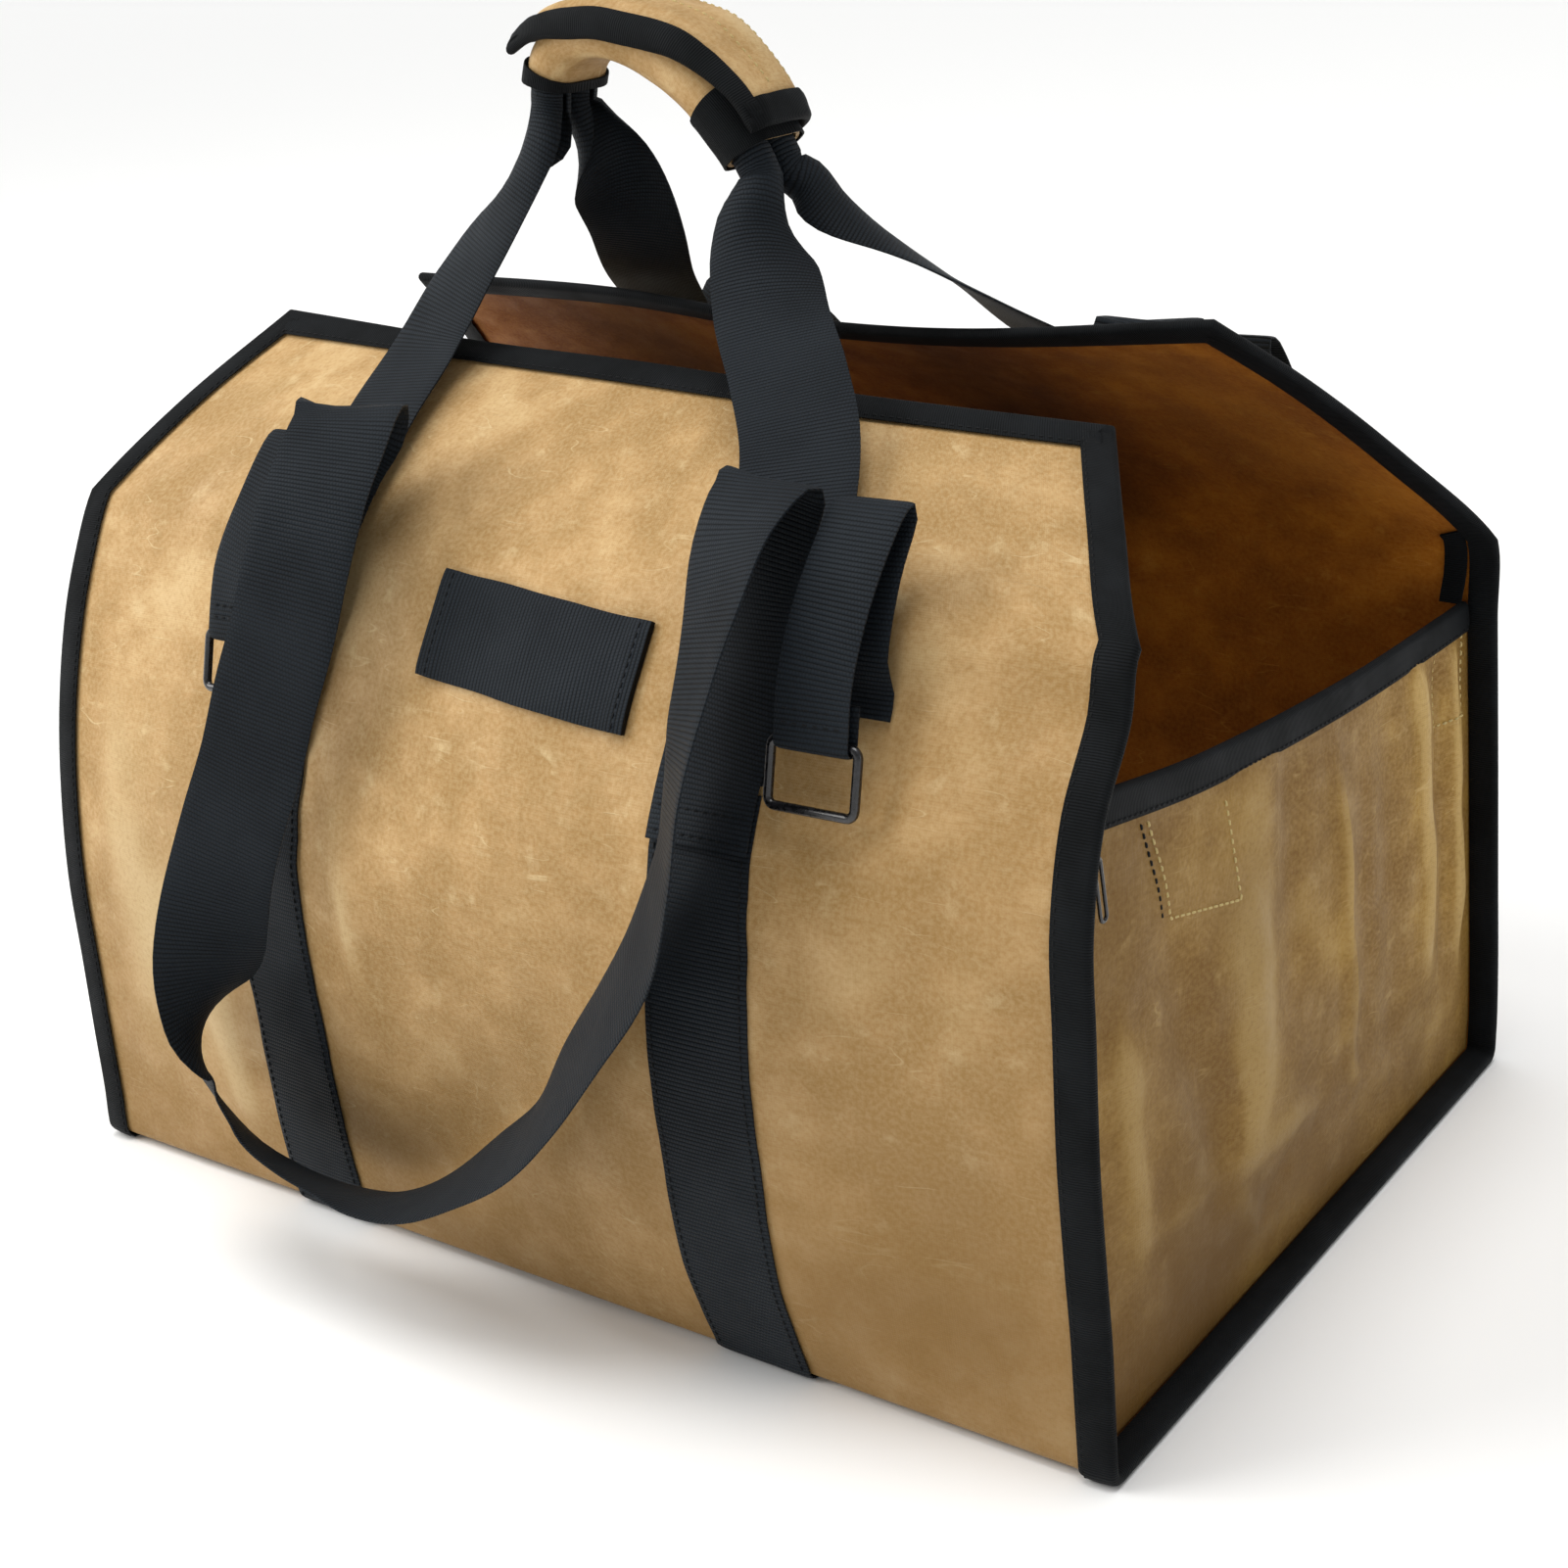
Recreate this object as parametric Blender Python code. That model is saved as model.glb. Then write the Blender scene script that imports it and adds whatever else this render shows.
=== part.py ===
# Canvas log carrier. One bound canvas sheet is the front, the base and the back, and two lower
# canvas ends close its sides. Two webbing straps run round it and rise into short handles that
# meet in a canvas grip, and longer webbing loops fold over and hang outside.
#
# X runs to the right, -Y to the front and Z up. The origin is under the middle of the base.

import math

import bmesh
import bpy
import numpy as np

for old in list(bpy.data.objects):
    bpy.data.objects.remove(old, do_unlink=True)

# Driving dimensions, in metres
BODY_WIDTH = 0.600
BODY_DEPTH = 0.400
BODY_HEIGHT = 0.400
CLIP_INSET = 0.069
FOLD_RADIUS = 0.006
CANVAS = 0.0018
WEBBING = 0.0018
TAPE = 0.0010
GAP = 0.0003
TAPE_GAP = 0.0008
SOFT_GAP = 0.0008
EDGE_TAPE = 0.0135
END_INSET = 0.012
END_TAPE = 0.012
END_BULGE = 0.006
BULGE_FULLNESS = 0.7
END_TAPE_SETBACK = 0.003
WEB_WIDTH = 0.050
STRAP_SPACING = 0.262
SEWN_HEIGHT = 0.268
SEWN_OVERLAP = 0.022
STITCH_GAP = 0.003
HANDLE_GAP = 0.0012
STRAP_GAP = 0.0020
ROW_MARGIN = 0.004
RING_WEB = 0.034
RING_WIDTH = 0.044
RING_HEIGHT = 0.030
RING_WIRE = 0.004
RING_CORNER = 0.0035
RING_HEM = 0.016
RING_SEWN_HEIGHT = 0.300
TAB_LENGTH = 0.124
TAB_WIDTH = 0.048
ROLL_RADIUS = 0.0085
ROLL_COLUMNS = 7
ROUND_STEPS = 4
FLAP_TAPE = 0.011
SLIDER_WIDTH = 0.009
SLIDER_LENGTH = 0.013
SLIDER_DEPTH = 0.005
SLIDER_SETBACK = 0.0065
SLIDER_DROP = 0.002
PULL_LENGTH = 0.028
PULL_WIDTH = 0.006
PULL_DEPTH = 0.0016
PULL_LEAN = 8.0
CORNER_TAIL_WIDTH = 0.011
CORNER_TAIL_LENGTH = 0.036
CORNER_CURL = ((0.0, 0.006), (0.35, 0.002), (0.75, 0.0), (1.0, 0.0))
SOFT_EDGE = 0.35
PANEL_STEP = 0.036
BASE_STEP = 0.090
LEG_STEP = 0.040
LOOP_STEP = 0.026
RING_STEP = 0.030

# Worked out from them
HALF_WIDTH = BODY_WIDTH / 2
HALF_DEPTH = BODY_DEPTH / 2
HALF_STRAPS = STRAP_SPACING / 2
BASE_HEIGHT = WEBBING + GAP
INNER_TAPE = END_INSET - TAPE - TAPE_GAP - GAP
END_FACE = HALF_WIDTH - END_INSET
FRONT = -1
BACK = 1

# Places across the sheet where its sections are set out, as shares of half the body width.
STATIONS = (-1.0, -0.437, 0.0, 0.437, 1.0)

# Front panel, a row per level from its top edge down. clip is the share of the clipped corner
# that is cut away there. The next five columns are how far forward it stands at the stations,
# as shares of half the depth, and the last five its height there, as shares of the height.
FRONT_LEVELS = (
    # clip  left   strap  middle strap  right    left    strap   middle  strap   right
    (1.00, 0.250, 0.250, 0.250, 0.250, 0.245, 1.0275, 1.0025, 0.9900, 0.9725, 0.9575),
    (0.50, 0.475, 0.485, 0.510, 0.525, 0.530, 0.9400, 0.9375, 0.9225, 0.9125, 0.9000),
    (0.00, 0.675, 0.700, 0.750, 0.790, 0.800, 0.8400, 0.8375, 0.8375, 0.8375, 0.8400),
    (0.00, 0.755, 0.770, 0.845, 0.870, 0.850, 0.7750, 0.7750, 0.7750, 0.7750, 0.7750),
    (0.00, 0.825, 0.850, 0.930, 0.950, 0.955, 0.7000, 0.7000, 0.7000, 0.7000, 0.7000),
    (0.00, 0.890, 0.965, 1.015, 1.045, 1.010, 0.6000, 0.6000, 0.6000, 0.6000, 0.6000),
    (0.00, 0.935, 1.030, 1.070, 1.085, 1.015, 0.5000, 0.5000, 0.5000, 0.5000, 0.5000),
    (0.00, 0.970, 1.043, 1.080, 1.110, 1.020, 0.3750, 0.3750, 0.3750, 0.3750, 0.3750),
    (0.00, 0.980, 1.035, 1.072, 1.100, 1.010, 0.2500, 0.2500, 0.2500, 0.2500, 0.2500),
    (0.00, 0.988, 1.025, 1.050, 1.078, 1.000, 0.1500, 0.1500, 0.1500, 0.1500, 0.1500),
    (0.00, 0.993, 1.015, 1.025, 1.035, 1.000, 0.0700, 0.0700, 0.0700, 0.0700, 0.0700),
)
# Back panel in the same columns, from the base up to its top edge.
BACK_LEVELS = (
    # clip  left   strap  middle strap  right    left    strap   middle  strap   right
    (0.00, 1.007, 1.020, 1.028, 1.022, 1.007, 0.0700, 0.0700, 0.0700, 0.0700, 0.0700),
    (0.00, 1.003, 1.035, 1.050, 1.040, 1.003, 0.1500, 0.1500, 0.1500, 0.1500, 0.1500),
    (0.00, 0.995, 1.055, 1.070, 1.060, 0.990, 0.2500, 0.2500, 0.2500, 0.2500, 0.2500),
    (0.00, 0.980, 1.065, 1.080, 1.070, 0.975, 0.3750, 0.3750, 0.3750, 0.3750, 0.3750),
    (0.00, 0.960, 1.050, 1.065, 1.055, 0.958, 0.5000, 0.5000, 0.5000, 0.5000, 0.5000),
    (0.00, 0.940, 1.010, 1.020, 1.015, 0.943, 0.6000, 0.6000, 0.6000, 0.6000, 0.6000),
    (0.00, 0.890, 0.925, 0.940, 0.950, 0.930, 0.7500, 0.7300, 0.7200, 0.7125, 0.7000),
    (0.33, 0.685, 0.715, 0.740, 0.740, 0.708, 0.8525, 0.8400, 0.8275, 0.8250, 0.8140),
    (0.67, 0.465, 0.490, 0.500, 0.490, 0.463, 0.9450, 0.9350, 0.9200, 0.9175, 0.9230),
    (1.00, 0.230, 0.225, 0.225, 0.225, 0.210, 1.0300, 1.0225, 0.9975, 0.9925, 1.0175),
)
# Top edge of each end, from front to back: share of half the depth, share of the height.
END_TOP = (
    (-1.00, 0.712),
    (-0.81, 0.695),
    (-0.38, 0.660),
    (0.28, 0.628),
    (0.83, 0.617),
    (1.00, 0.616),
)
# Columns and rows of an end panel, as shares of its depth and of its height above the base fold.
END_COLUMNS = (0.0, 0.02, 0.10, 0.22, 0.36, 0.50, 0.64, 0.78, 0.90, 0.98, 1.0)
END_RISES = (0.16, 0.32, 0.48, 0.64, 0.76, 0.87)

# Height, as a share of the body height, up to which webbing lies on the panel above its seam.
LYING_TOP = 0.772

# Free webbing follows tables of chosen points. across is a share of half the strap spacing,
# forward a share of half the depth, height a share of the body height. turn is the angle in
# degrees of the webbing's width from X, and roll how far it is rolled into a tube.
HANDLE_LEFT_FRONT = (
    # across forward height  turn   roll
    (-0.950, 0.705, 0.858, -5.0, 0.00),
    (-0.930, 0.520, 0.945, -9.0, 0.00),
    (-0.930, 0.330, 1.015, -12.0, 0.00),
    (-0.850, 0.235, 1.085, -18.0, 0.05),
    (-0.745, 0.165, 1.150, -28.0, 0.15),
    (-0.660, 0.110, 1.200, -48.0, 0.40),
    (-0.612, 0.075, 1.232, -70.0, 0.75),
)
HANDLE_RIGHT_FRONT = (
    (0.330, 0.075, 1.168, -105.0, 0.75),
    (0.350, 0.110, 1.135, -120.0, 0.45),
    (0.420, 0.165, 1.100, -136.0, 0.18),
    (0.540, 0.260, 1.055, -150.0, 0.05),
    (0.735, 0.390, 1.010, -158.0, 0.00),
    (0.930, 0.540, 0.955, -160.0, 0.00),
    (1.080, 0.745, 0.880, -171.0, 0.00),
    (1.055, 0.832, 0.828, -179.0, 0.00),
)
HANDLE_LEFT_BACK = (
    (-0.970, 0.700, 0.880, 0.0, 0.00),
    (-0.880, 0.530, 0.970, -2.0, 0.00),
    (-0.730, 0.340, 1.040, -8.0, 0.00),
    (-0.630, 0.235, 1.100, -18.0, 0.06),
    (-0.585, 0.165, 1.150, -34.0, 0.20),
    (-0.575, 0.110, 1.195, -56.0, 0.45),
    (-0.585, 0.075, 1.230, -76.0, 0.78),
)
HANDLE_RIGHT_BACK = (
    (0.360, 0.080, 1.175, -100.0, 0.72),
    (0.420, 0.115, 1.145, -108.0, 0.40),
    (0.510, 0.155, 1.115, -118.0, 0.18),
    (0.620, 0.195, 1.085, -128.0, 0.06),
    (0.740, 0.245, 1.052, -136.0, 0.00),
    (0.850, 0.310, 1.018, -146.0, 0.00),
    (0.930, 0.430, 0.975, -160.0, 0.00),
    (0.985, 0.600, 0.930, -170.0, 0.00),
    (1.000, 0.740, 0.865, -176.0, 0.00),
)
# Middle line of the grip, left to right.
GRIP_ARCH = (
    # across height
    (-0.605, 1.262),
    (-0.590, 1.290),
    (-0.550, 1.318),
    (-0.470, 1.338),
    (-0.370, 1.346),
    (-0.260, 1.342),
    (-0.150, 1.330),
    (-0.050, 1.313),
    (0.050, 1.290),
    (0.135, 1.265),
    (0.210, 1.238),
    (0.270, 1.212),
    (0.310, 1.185),
)
# Top line of the flap over the grip, left to right, in the same two columns, and how far its
# front half wraps round there.
GRIP_FLAP = (
    # across height wrap
    (-0.690, 1.3380, 0.50),
    (-0.620, 1.3530, 0.62),
    (-0.530, 1.3680, 0.80),
    (-0.400, 1.3785, 0.97),
    (-0.260, 1.3800, 1.00),
    (-0.130, 1.3725, 1.00),
    (0.000, 1.3605, 0.95),
    (0.110, 1.3435, 0.85),
    (0.210, 1.3145, 0.68),
    (0.300, 1.2795, 0.52),
    (0.360, 1.2455, 0.45),
)
# The flap across, from its front edge over the top to its back edge: angles round the sleeve.
FLAP_ANGLES = (-84.0, -42.0, -18.0, 0.0, 26.0, 52.0, 78.0)

# The long loop, from its sewn left end over the left fold, down, round the bottom and up to
# the right fold. tip leans the webbing over, its rear edge lower, in degrees.
LOOP_FREE = (
    # across forward height  turn   tip
    (-0.930, 0.780, 0.845, 6.0, 0.0),
    (-0.860, 0.715, 0.920, 14.0, 0.0),
    (-0.790, 0.695, 0.962, 18.0, 0.0),
    (-0.720, 0.730, 0.984, 20.0, 0.0),
    (-0.675, 0.785, 0.978, 22.0, 0.0),
    (-0.650, 0.860, 0.945, 22.0, 0.0),
    (-0.635, 0.935, 0.905, 22.0, 0.0),
    (-0.647, 1.015, 0.831, 21.0, 0.0),
    (-0.677, 1.060, 0.770, 20.0, 0.0),
    (-0.732, 1.100, 0.707, 19.0, 0.0),
    (-0.793, 1.140, 0.631, 18.0, 0.0),
    (-0.872, 1.175, 0.563, 18.0, 0.0),
    (-0.952, 1.200, 0.491, 20.0, 3.0),
    (-1.035, 1.215, 0.410, 32.0, 14.0),
    (-1.095, 1.220, 0.350, 62.0, 15.0),
    (-1.145, 1.224, 0.312, 96.0, 10.0),
    (-1.175, 1.225, 0.280, 110.0, 22.0),
    (-1.182, 1.225, 0.242, 116.0, 36.0),
    (-1.112, 1.225, 0.200, 118.0, 33.0),
    (-0.960, 1.225, 0.160, 116.0, 34.0),
    (-0.721, 1.225, 0.139, 112.0, 33.0),
    (-0.470, 1.225, 0.137, 106.0, 27.0),
    (-0.301, 1.225, 0.147, 102.0, 16.0),
    (-0.090, 1.225, 0.175, 100.0, 0.0),
    (0.123, 1.225, 0.220, 98.0, -12.0),
    (0.370, 1.225, 0.281, 100.0, -19.0),
    (0.585, 1.225, 0.366, 102.0, -28.0),
    (0.780, 1.220, 0.450, 106.0, -27.0),
    (0.955, 1.210, 0.536, 114.0, -23.0),
    (1.055, 1.195, 0.625, 126.0, -7.0),
    (1.065, 1.155, 0.695, 133.0, 0.0),
    (1.072, 1.115, 0.750, 138.0, 1.0),
    (1.075, 1.060, 0.800, 142.0, 2.0),
    (1.075, 0.985, 0.862, 149.0, 2.0),
    (1.062, 0.900, 0.915, 156.0, 1.0),
    (1.075, 0.835, 0.947, 162.0, 0.0),
    (1.085, 0.780, 0.957, 165.0, 0.0),
    (1.075, 0.755, 0.938, 172.0, 0.0),
    (1.035, 0.825, 0.860, 179.0, 0.0),
)
# The back panel's top stands elsewhere than the front's, and the loop and the ring straps with
# it: by these shares of half the depth at the left and the right strap, from the higher of two
# heights up, and not at all under the lower one.
BACK_STAND = (0.055, -0.030)
BACK_STAND_HEIGHTS = (0.50, 0.72)
# How far webbing has come away from the panel at the lying top, in metres.
LOOP_LOOSENESS = 0.0020
RING_LOOSENESS = (0.0045, 0.0015)
# Ring straps from the sewn end up, over the fold and down to the ring.
RING_STRAP_RIGHT = (
    # across forward height
    (1.450, 0.895, 0.810),
    (1.450, 0.835, 0.880),
    (1.450, 0.765, 0.930),
    (1.450, 0.770, 0.945),
    (1.450, 0.815, 0.935),
    (1.440, 0.925, 0.870),
    (1.420, 0.985, 0.800),
    (1.420, 1.015, 0.742),
)
RING_STRAP_LEFT = (
    (-1.010, 0.875, 0.790),
    (-0.980, 0.815, 0.850),
    (-0.930, 0.775, 0.910),
    (-0.905, 0.765, 0.940),
    (-0.900, 0.785, 0.958),
    (-0.905, 0.825, 0.943),
    (-0.950, 0.890, 0.890),
    (-1.020, 0.945, 0.825),
    (-1.035, 0.972, 0.782),
    (-1.035, 0.992, 0.748),
)
# Webbing tab: its middle on the front and how far it leans clockwise.
TAB_ACROSS = 0.170
TAB_HEIGHT = 0.760
TAB_LEAN = 3.5


def unit(vector):
    return vector / np.linalg.norm(vector, axis=-1, keepdims=True)


def blend(places, rows, at, level=False):
    """Read a smooth curve through rows at one place; level keeps flat stretches flat."""
    last = len(places) - 1
    k = int(np.clip(np.searchsorted(places, at, side="right") - 1, 0, last - 1))
    span = places[k + 1] - places[k]
    t = (at - places[k]) / span

    def slope(i):
        a = max(i - 1, 0)
        b = min(i + 1, last)
        middle = (rows[b] - rows[a]) / (places[b] - places[a])
        if not level or a == i or b == i:
            return middle
        before = rows[i] - rows[a]
        after = rows[b] - rows[i]
        return np.where(before * after > 0.0, middle, 0.0)

    start = (1 + 2 * t) * (1 - t) ** 2 * rows[k] + t * (1 - t) ** 2 * span * slope(k)
    end = t * t * (3 - 2 * t) * rows[k + 1] - t * t * (1 - t) * span * slope(k + 1)
    return start + end


def sheet_sections():
    """The sheet's sections at every station, from the front top edge round to the back one."""
    clips = []
    sections = []

    def add_level(row, side):
        clips.append(row[0])
        sections.append([(side * row[1 + i] * HALF_DEPTH, row[6 + i] * BODY_HEIGHT)
                         for i in range(len(STATIONS))])

    def add_flat(forward, height):
        clips.append(0.0)
        sections.append([(forward, height)] * len(STATIONS))

    for row in FRONT_LEVELS:
        add_level(row, FRONT)
    for angle in (0, 30, 60, 90):
        turn = math.radians(angle)
        forward = HALF_DEPTH - FOLD_RADIUS * (1 - math.sin(math.radians(90) - turn))
        add_flat(-forward, BASE_HEIGHT + FOLD_RADIUS * (1 - math.sin(turn)))
    for share in (-0.90, 0.0, 0.90):
        add_flat(share * HALF_DEPTH, BASE_HEIGHT)
    for angle in (90, 60, 30, 0):
        turn = math.radians(angle)
        forward = HALF_DEPTH - FOLD_RADIUS * (1 - math.sin(math.radians(90) - turn))
        add_flat(forward, BASE_HEIGHT + FOLD_RADIUS * (1 - math.sin(turn)))
    for row in BACK_LEVELS:
        add_level(row, BACK)
    return np.array(clips), np.array(sections)


CLIPS, SECTIONS = sheet_sections()
MIDDLE = SECTIONS[:, len(STATIONS) // 2]
LENGTHS = np.concatenate([[0.0], np.cumsum(np.linalg.norm(np.diff(MIDDLE, axis=0), axis=1))])
SHEET_LENGTH = LENGTHS[-1]
FOLDS = (len(FRONT_LEVELS), len(FRONT_LEVELS) + 3, len(FRONT_LEVELS) + 7, len(FRONT_LEVELS) + 10)


def half_width(length):
    """Half the sheet's width at a length along it from the front top edge."""
    return HALF_WIDTH - CLIP_INSET * float(np.interp(length, LENGTHS, CLIPS))


def sheet_point(share, length):
    """Point on the sheet's outer face; share runs from -1 at its left edge to 1."""
    section = blend(LENGTHS, SECTIONS, length, level=True)
    forward, height = blend(STATIONS, section, share)
    return np.array([share * half_width(length), forward, height])


def sheet_normal(share, length):
    """Outward normal of the sheet."""
    step = 0.002
    low = max(length - step, 0.0)
    high = min(length + step, SHEET_LENGTH)
    left = max(share - 0.01, -1.0)
    right = min(share + 0.01, 1.0)
    down = sheet_point(share, high) - sheet_point(share, low)
    across = sheet_point(right, length) - sheet_point(left, length)
    return unit(np.cross(down, across))


def even_steps(stops, step):
    """Fill the stretches between stops with even steps no longer than step."""
    filled = [stops[0]]
    for start, end in zip(stops, stops[1:]):
        count = max(1, math.ceil((end - start) / step - 0.001))
        filled += [start + (end - start) * (i + 1) / count for i in range(count)]
    return filled


def sheet_rows():
    """Lengths along the sheet where its mesh has a row."""
    clip_front = LENGTHS[2]
    clip_back = LENGTHS[-4]
    fold = [LENGTHS[i] for i in FOLDS]
    rows = even_steps([0.0, EDGE_TAPE, clip_front, fold[0]], PANEL_STEP)
    rows += list(LENGTHS[FOLDS[0] + 1:FOLDS[1] + 1])
    rows += even_steps([fold[1], fold[2]], BASE_STEP)[1:]
    rows += list(LENGTHS[FOLDS[2] + 1:FOLDS[3] + 1])
    stops = [fold[3], clip_back, SHEET_LENGTH - EDGE_TAPE, SHEET_LENGTH]
    rows += even_steps(stops, PANEL_STEP)[1:]
    return rows


ROWS = sheet_rows()


def sheet_columns():
    """Shares across the sheet where its mesh has a column, the straps' edges among them."""
    places = [0.0, 0.5 * (HALF_STRAPS - WEB_WIDTH / 2)]
    places += [HALF_STRAPS - WEB_WIDTH / 2, HALF_STRAPS, HALF_STRAPS + WEB_WIDTH / 2]
    outer = HALF_WIDTH - EDGE_TAPE
    places += [places[-1] + (outer - places[-1]) * t for t in (0.5, 1.0)]
    places.append(HALF_WIDTH)
    right = [place / HALF_WIDTH for place in places]
    return [-share for share in reversed(right[1:])] + right


COLUMNS = sheet_columns()


GRID = np.array([[sheet_point(share, row) for share in COLUMNS] for row in ROWS])
GRID_NORMALS = np.array([[sheet_normal(share, row) for share in COLUMNS] for row in ROWS])


def cell(places, at):
    """Index of the cell that holds a place, and how far along it the place is."""
    k = int(np.clip(np.searchsorted(places, at, side="right") - 1, 0, len(places) - 2))
    return k, (at - places[k]) / (places[k + 1] - places[k])


def facet(share, length):
    """Point and outward normal on the sheet's mesh."""
    r, v = cell(ROWS, length)
    c, u = cell(COLUMNS, share)
    results = []
    for grid in (GRID, GRID_NORMALS):
        low = grid[r, c] * (1 - u) + grid[r, c + 1] * u
        high = grid[r + 1, c] * (1 - u) + grid[r + 1, c + 1] * u
        results.append(low * (1 - v) + high * v)
    return results


def length_at(side, share, height):
    """Length along the sheet where the front or back panel reaches a height."""
    rows = [row for row in ROWS if (row < SHEET_LENGTH / 2) == (side == FRONT)]
    heights = [facet(share, row)[0][2] for row in rows]
    if side == FRONT:
        return float(np.interp(-height, [-h for h in heights], rows))
    return float(np.interp(height, heights, rows))


def make(name, points, faces, colour, roughness, metallic=0.0):
    """One object from points and faces, with a material of its own."""
    mesh = bpy.data.meshes.new(name)
    mesh.from_pydata([tuple(map(float, point)) for point in points], [], faces)
    shape = bmesh.new()
    shape.from_mesh(mesh)
    bmesh.ops.recalc_face_normals(shape, faces=shape.faces)
    shape.to_mesh(mesh)
    shape.free()
    mesh.shade_smooth()
    mesh.set_sharp_from_angle(angle=math.radians(40))
    slot = bpy.data.materials.new(name)
    slot.use_nodes = True
    shader = slot.node_tree.nodes["Principled BSDF"]
    shader.inputs["Base Color"].default_value = (*colour, 1.0)
    shader.inputs["Roughness"].default_value = roughness
    shader.inputs["Metallic"].default_value = metallic
    slot.diffuse_color = (*colour, 1.0)
    mesh.materials.append(slot)
    obj = bpy.data.objects.new(name, mesh)
    bpy.context.scene.collection.objects.link(obj)
    return obj


def canvas(name, points, faces):
    return make(name, points, faces, (0.53, 0.36, 0.18), 0.72)


def webbing(name, points, faces):
    return make(name, points, faces, (0.022, 0.025, 0.030), 0.80)


def tape(name, points, faces):
    return make(name, points, faces, (0.016, 0.018, 0.022), 0.75)


def painted_metal(name, points, faces):
    return make(name, points, faces, (0.012, 0.012, 0.013), 0.35, 0.6)


def slab(middle, normals, low, high):
    """Closed solid between two offsets of a grid of points along its normals."""
    rows, columns = middle.shape[:2]
    outer = (middle + normals * high).reshape(-1, 3)
    inner = (middle + normals * low).reshape(-1, 3)
    points = np.concatenate([outer, inner])
    count = rows * columns
    faces = []
    for r in range(rows - 1):
        for c in range(columns - 1):
            a = r * columns + c
            b = a + 1
            d = a + columns
            e = d + 1
            faces.append((a, d, e, b))
            faces.append((a + count, b + count, e + count, d + count))
    rim = list(range(columns))
    rim += [r * columns + columns - 1 for r in range(1, rows)]
    rim += [(rows - 1) * columns + c for c in range(columns - 2, -1, -1)]
    rim += [r * columns for r in range(rows - 2, 0, -1)]
    for a, b in zip(rim, rim[1:] + rim[:1]):
        faces.append((a, b, b + count, a + count))
    return points, faces


def sweep(sections, closed):
    """Closed solid through equal loops of points, in a ring or with flat ends."""
    sections = np.array(sections)
    stations, sides = sections.shape[:2]
    faces = []
    for s in range(stations if closed else stations - 1):
        here = s * sides
        there = ((s + 1) % stations) * sides
        for i in range(sides):
            j = (i + 1) % sides
            faces.append((here + i, here + j, there + j, there + i))
    if not closed:
        faces.append(tuple(range(sides - 1, -1, -1)))
        faces.append(tuple((stations - 1) * sides + i for i in range(sides)))
    return sections.reshape(-1, 3), faces


def body_canvas():
    canvas("body_canvas", *slab(GRID, GRID_NORMALS, -CANVAS, 0.0))


def folded_tape(edge, outer, inner, normals, outward):
    """Section of tape folded over an edge: its outer leg, the fold and its inner leg."""
    at_edge, at_outer, at_inner = normals
    skin = TAPE_GAP + TAPE
    return [
        outer + at_outer * skin,
        edge + at_edge * skin + outward * skin,
        edge - at_edge * (CANVAS + skin) + outward * skin,
        inner - at_inner * (CANVAS + skin),
        inner - at_inner * (CANVAS + TAPE_GAP),
        edge - at_edge * (CANVAS + TAPE_GAP) + outward * TAPE_GAP,
        edge + at_edge * TAPE_GAP + outward * TAPE_GAP,
        outer + at_outer * TAPE_GAP,
    ]


def edge_binding():
    """Tape folded round the whole edge of the sheet."""
    def station(share, row, side, end):
        reach = half_width(row)

        def inward(width):
            return share - side * width / reach, row + end * width

        edge, at_edge = facet(share, row)
        outer, at_outer = facet(*inward(EDGE_TAPE))
        inner, at_inner = facet(*inward(INNER_TAPE))
        outward = np.zeros(3)
        if side:
            outward += unit(edge - facet(share - side * EDGE_TAPE / reach, row)[0])
        if end:
            outward += unit(edge - facet(share, row + end * EDGE_TAPE)[0])
        return folded_tape(edge, outer, inner, (at_edge, at_outer, at_inner), outward)

    last = ROWS[-1]
    sections = [station(1, 0.0, 1, 1)]
    sections += [station(1, row, 1, 0) for row in ROWS[1:-1]]
    sections += [station(1, last, 1, -1)]
    sections += [station(u, last, 0, -1) for u in reversed(COLUMNS[1:-1])]
    sections += [station(-1, last, -1, -1)]
    sections += [station(-1, row, -1, 0) for row in reversed(ROWS[1:-1])]
    sections += [station(-1, 0.0, -1, 1)]
    sections += [station(u, 0.0, 0, 1) for u in COLUMNS[1:-1]]
    tape("edge_binding", *sweep(sections, closed=True))


def end_profile(end, side):
    """Line in Y and Z just inside the sheet where an end panel meets it, base first."""
    share = end * END_FACE / HALF_WIDTH
    rows = [row for row in ROWS if (row < SHEET_LENGTH / 2) == (side == FRONT)]
    if side == FRONT:
        rows = rows[::-1]
    line = []
    for row in rows:
        point, normal = facet(share, row)
        inside = point - normal * (CANVAS + SOFT_GAP)
        line.append((inside[2], inside[1]))
    return np.array(line)


PROFILES = {(end, side): end_profile(end, side) for end in (1, -1) for side in (FRONT, BACK)}
END_FLOOR = BASE_HEIGHT + CANVAS + SOFT_GAP


def profile_y(end, side, height):
    heights, places = PROFILES[end, side].T
    return float(np.interp(height, heights, places))


def end_height(forward):
    """Height of an end's top edge at a place in Y."""
    places = np.array([share * HALF_DEPTH for share, _ in END_TOP])
    heights = np.array([share * BODY_HEIGHT for _, share in END_TOP])
    return float(blend(places, heights, np.clip(forward, places[0], places[-1])))


def end_corner(end, side):
    """Height of an end's top edge where it meets the front or the back."""
    height = END_TOP[0 if side == FRONT else -1][1] * BODY_HEIGHT
    for _ in range(6):
        height = end_height(profile_y(end, side, height))
    return height


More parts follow.
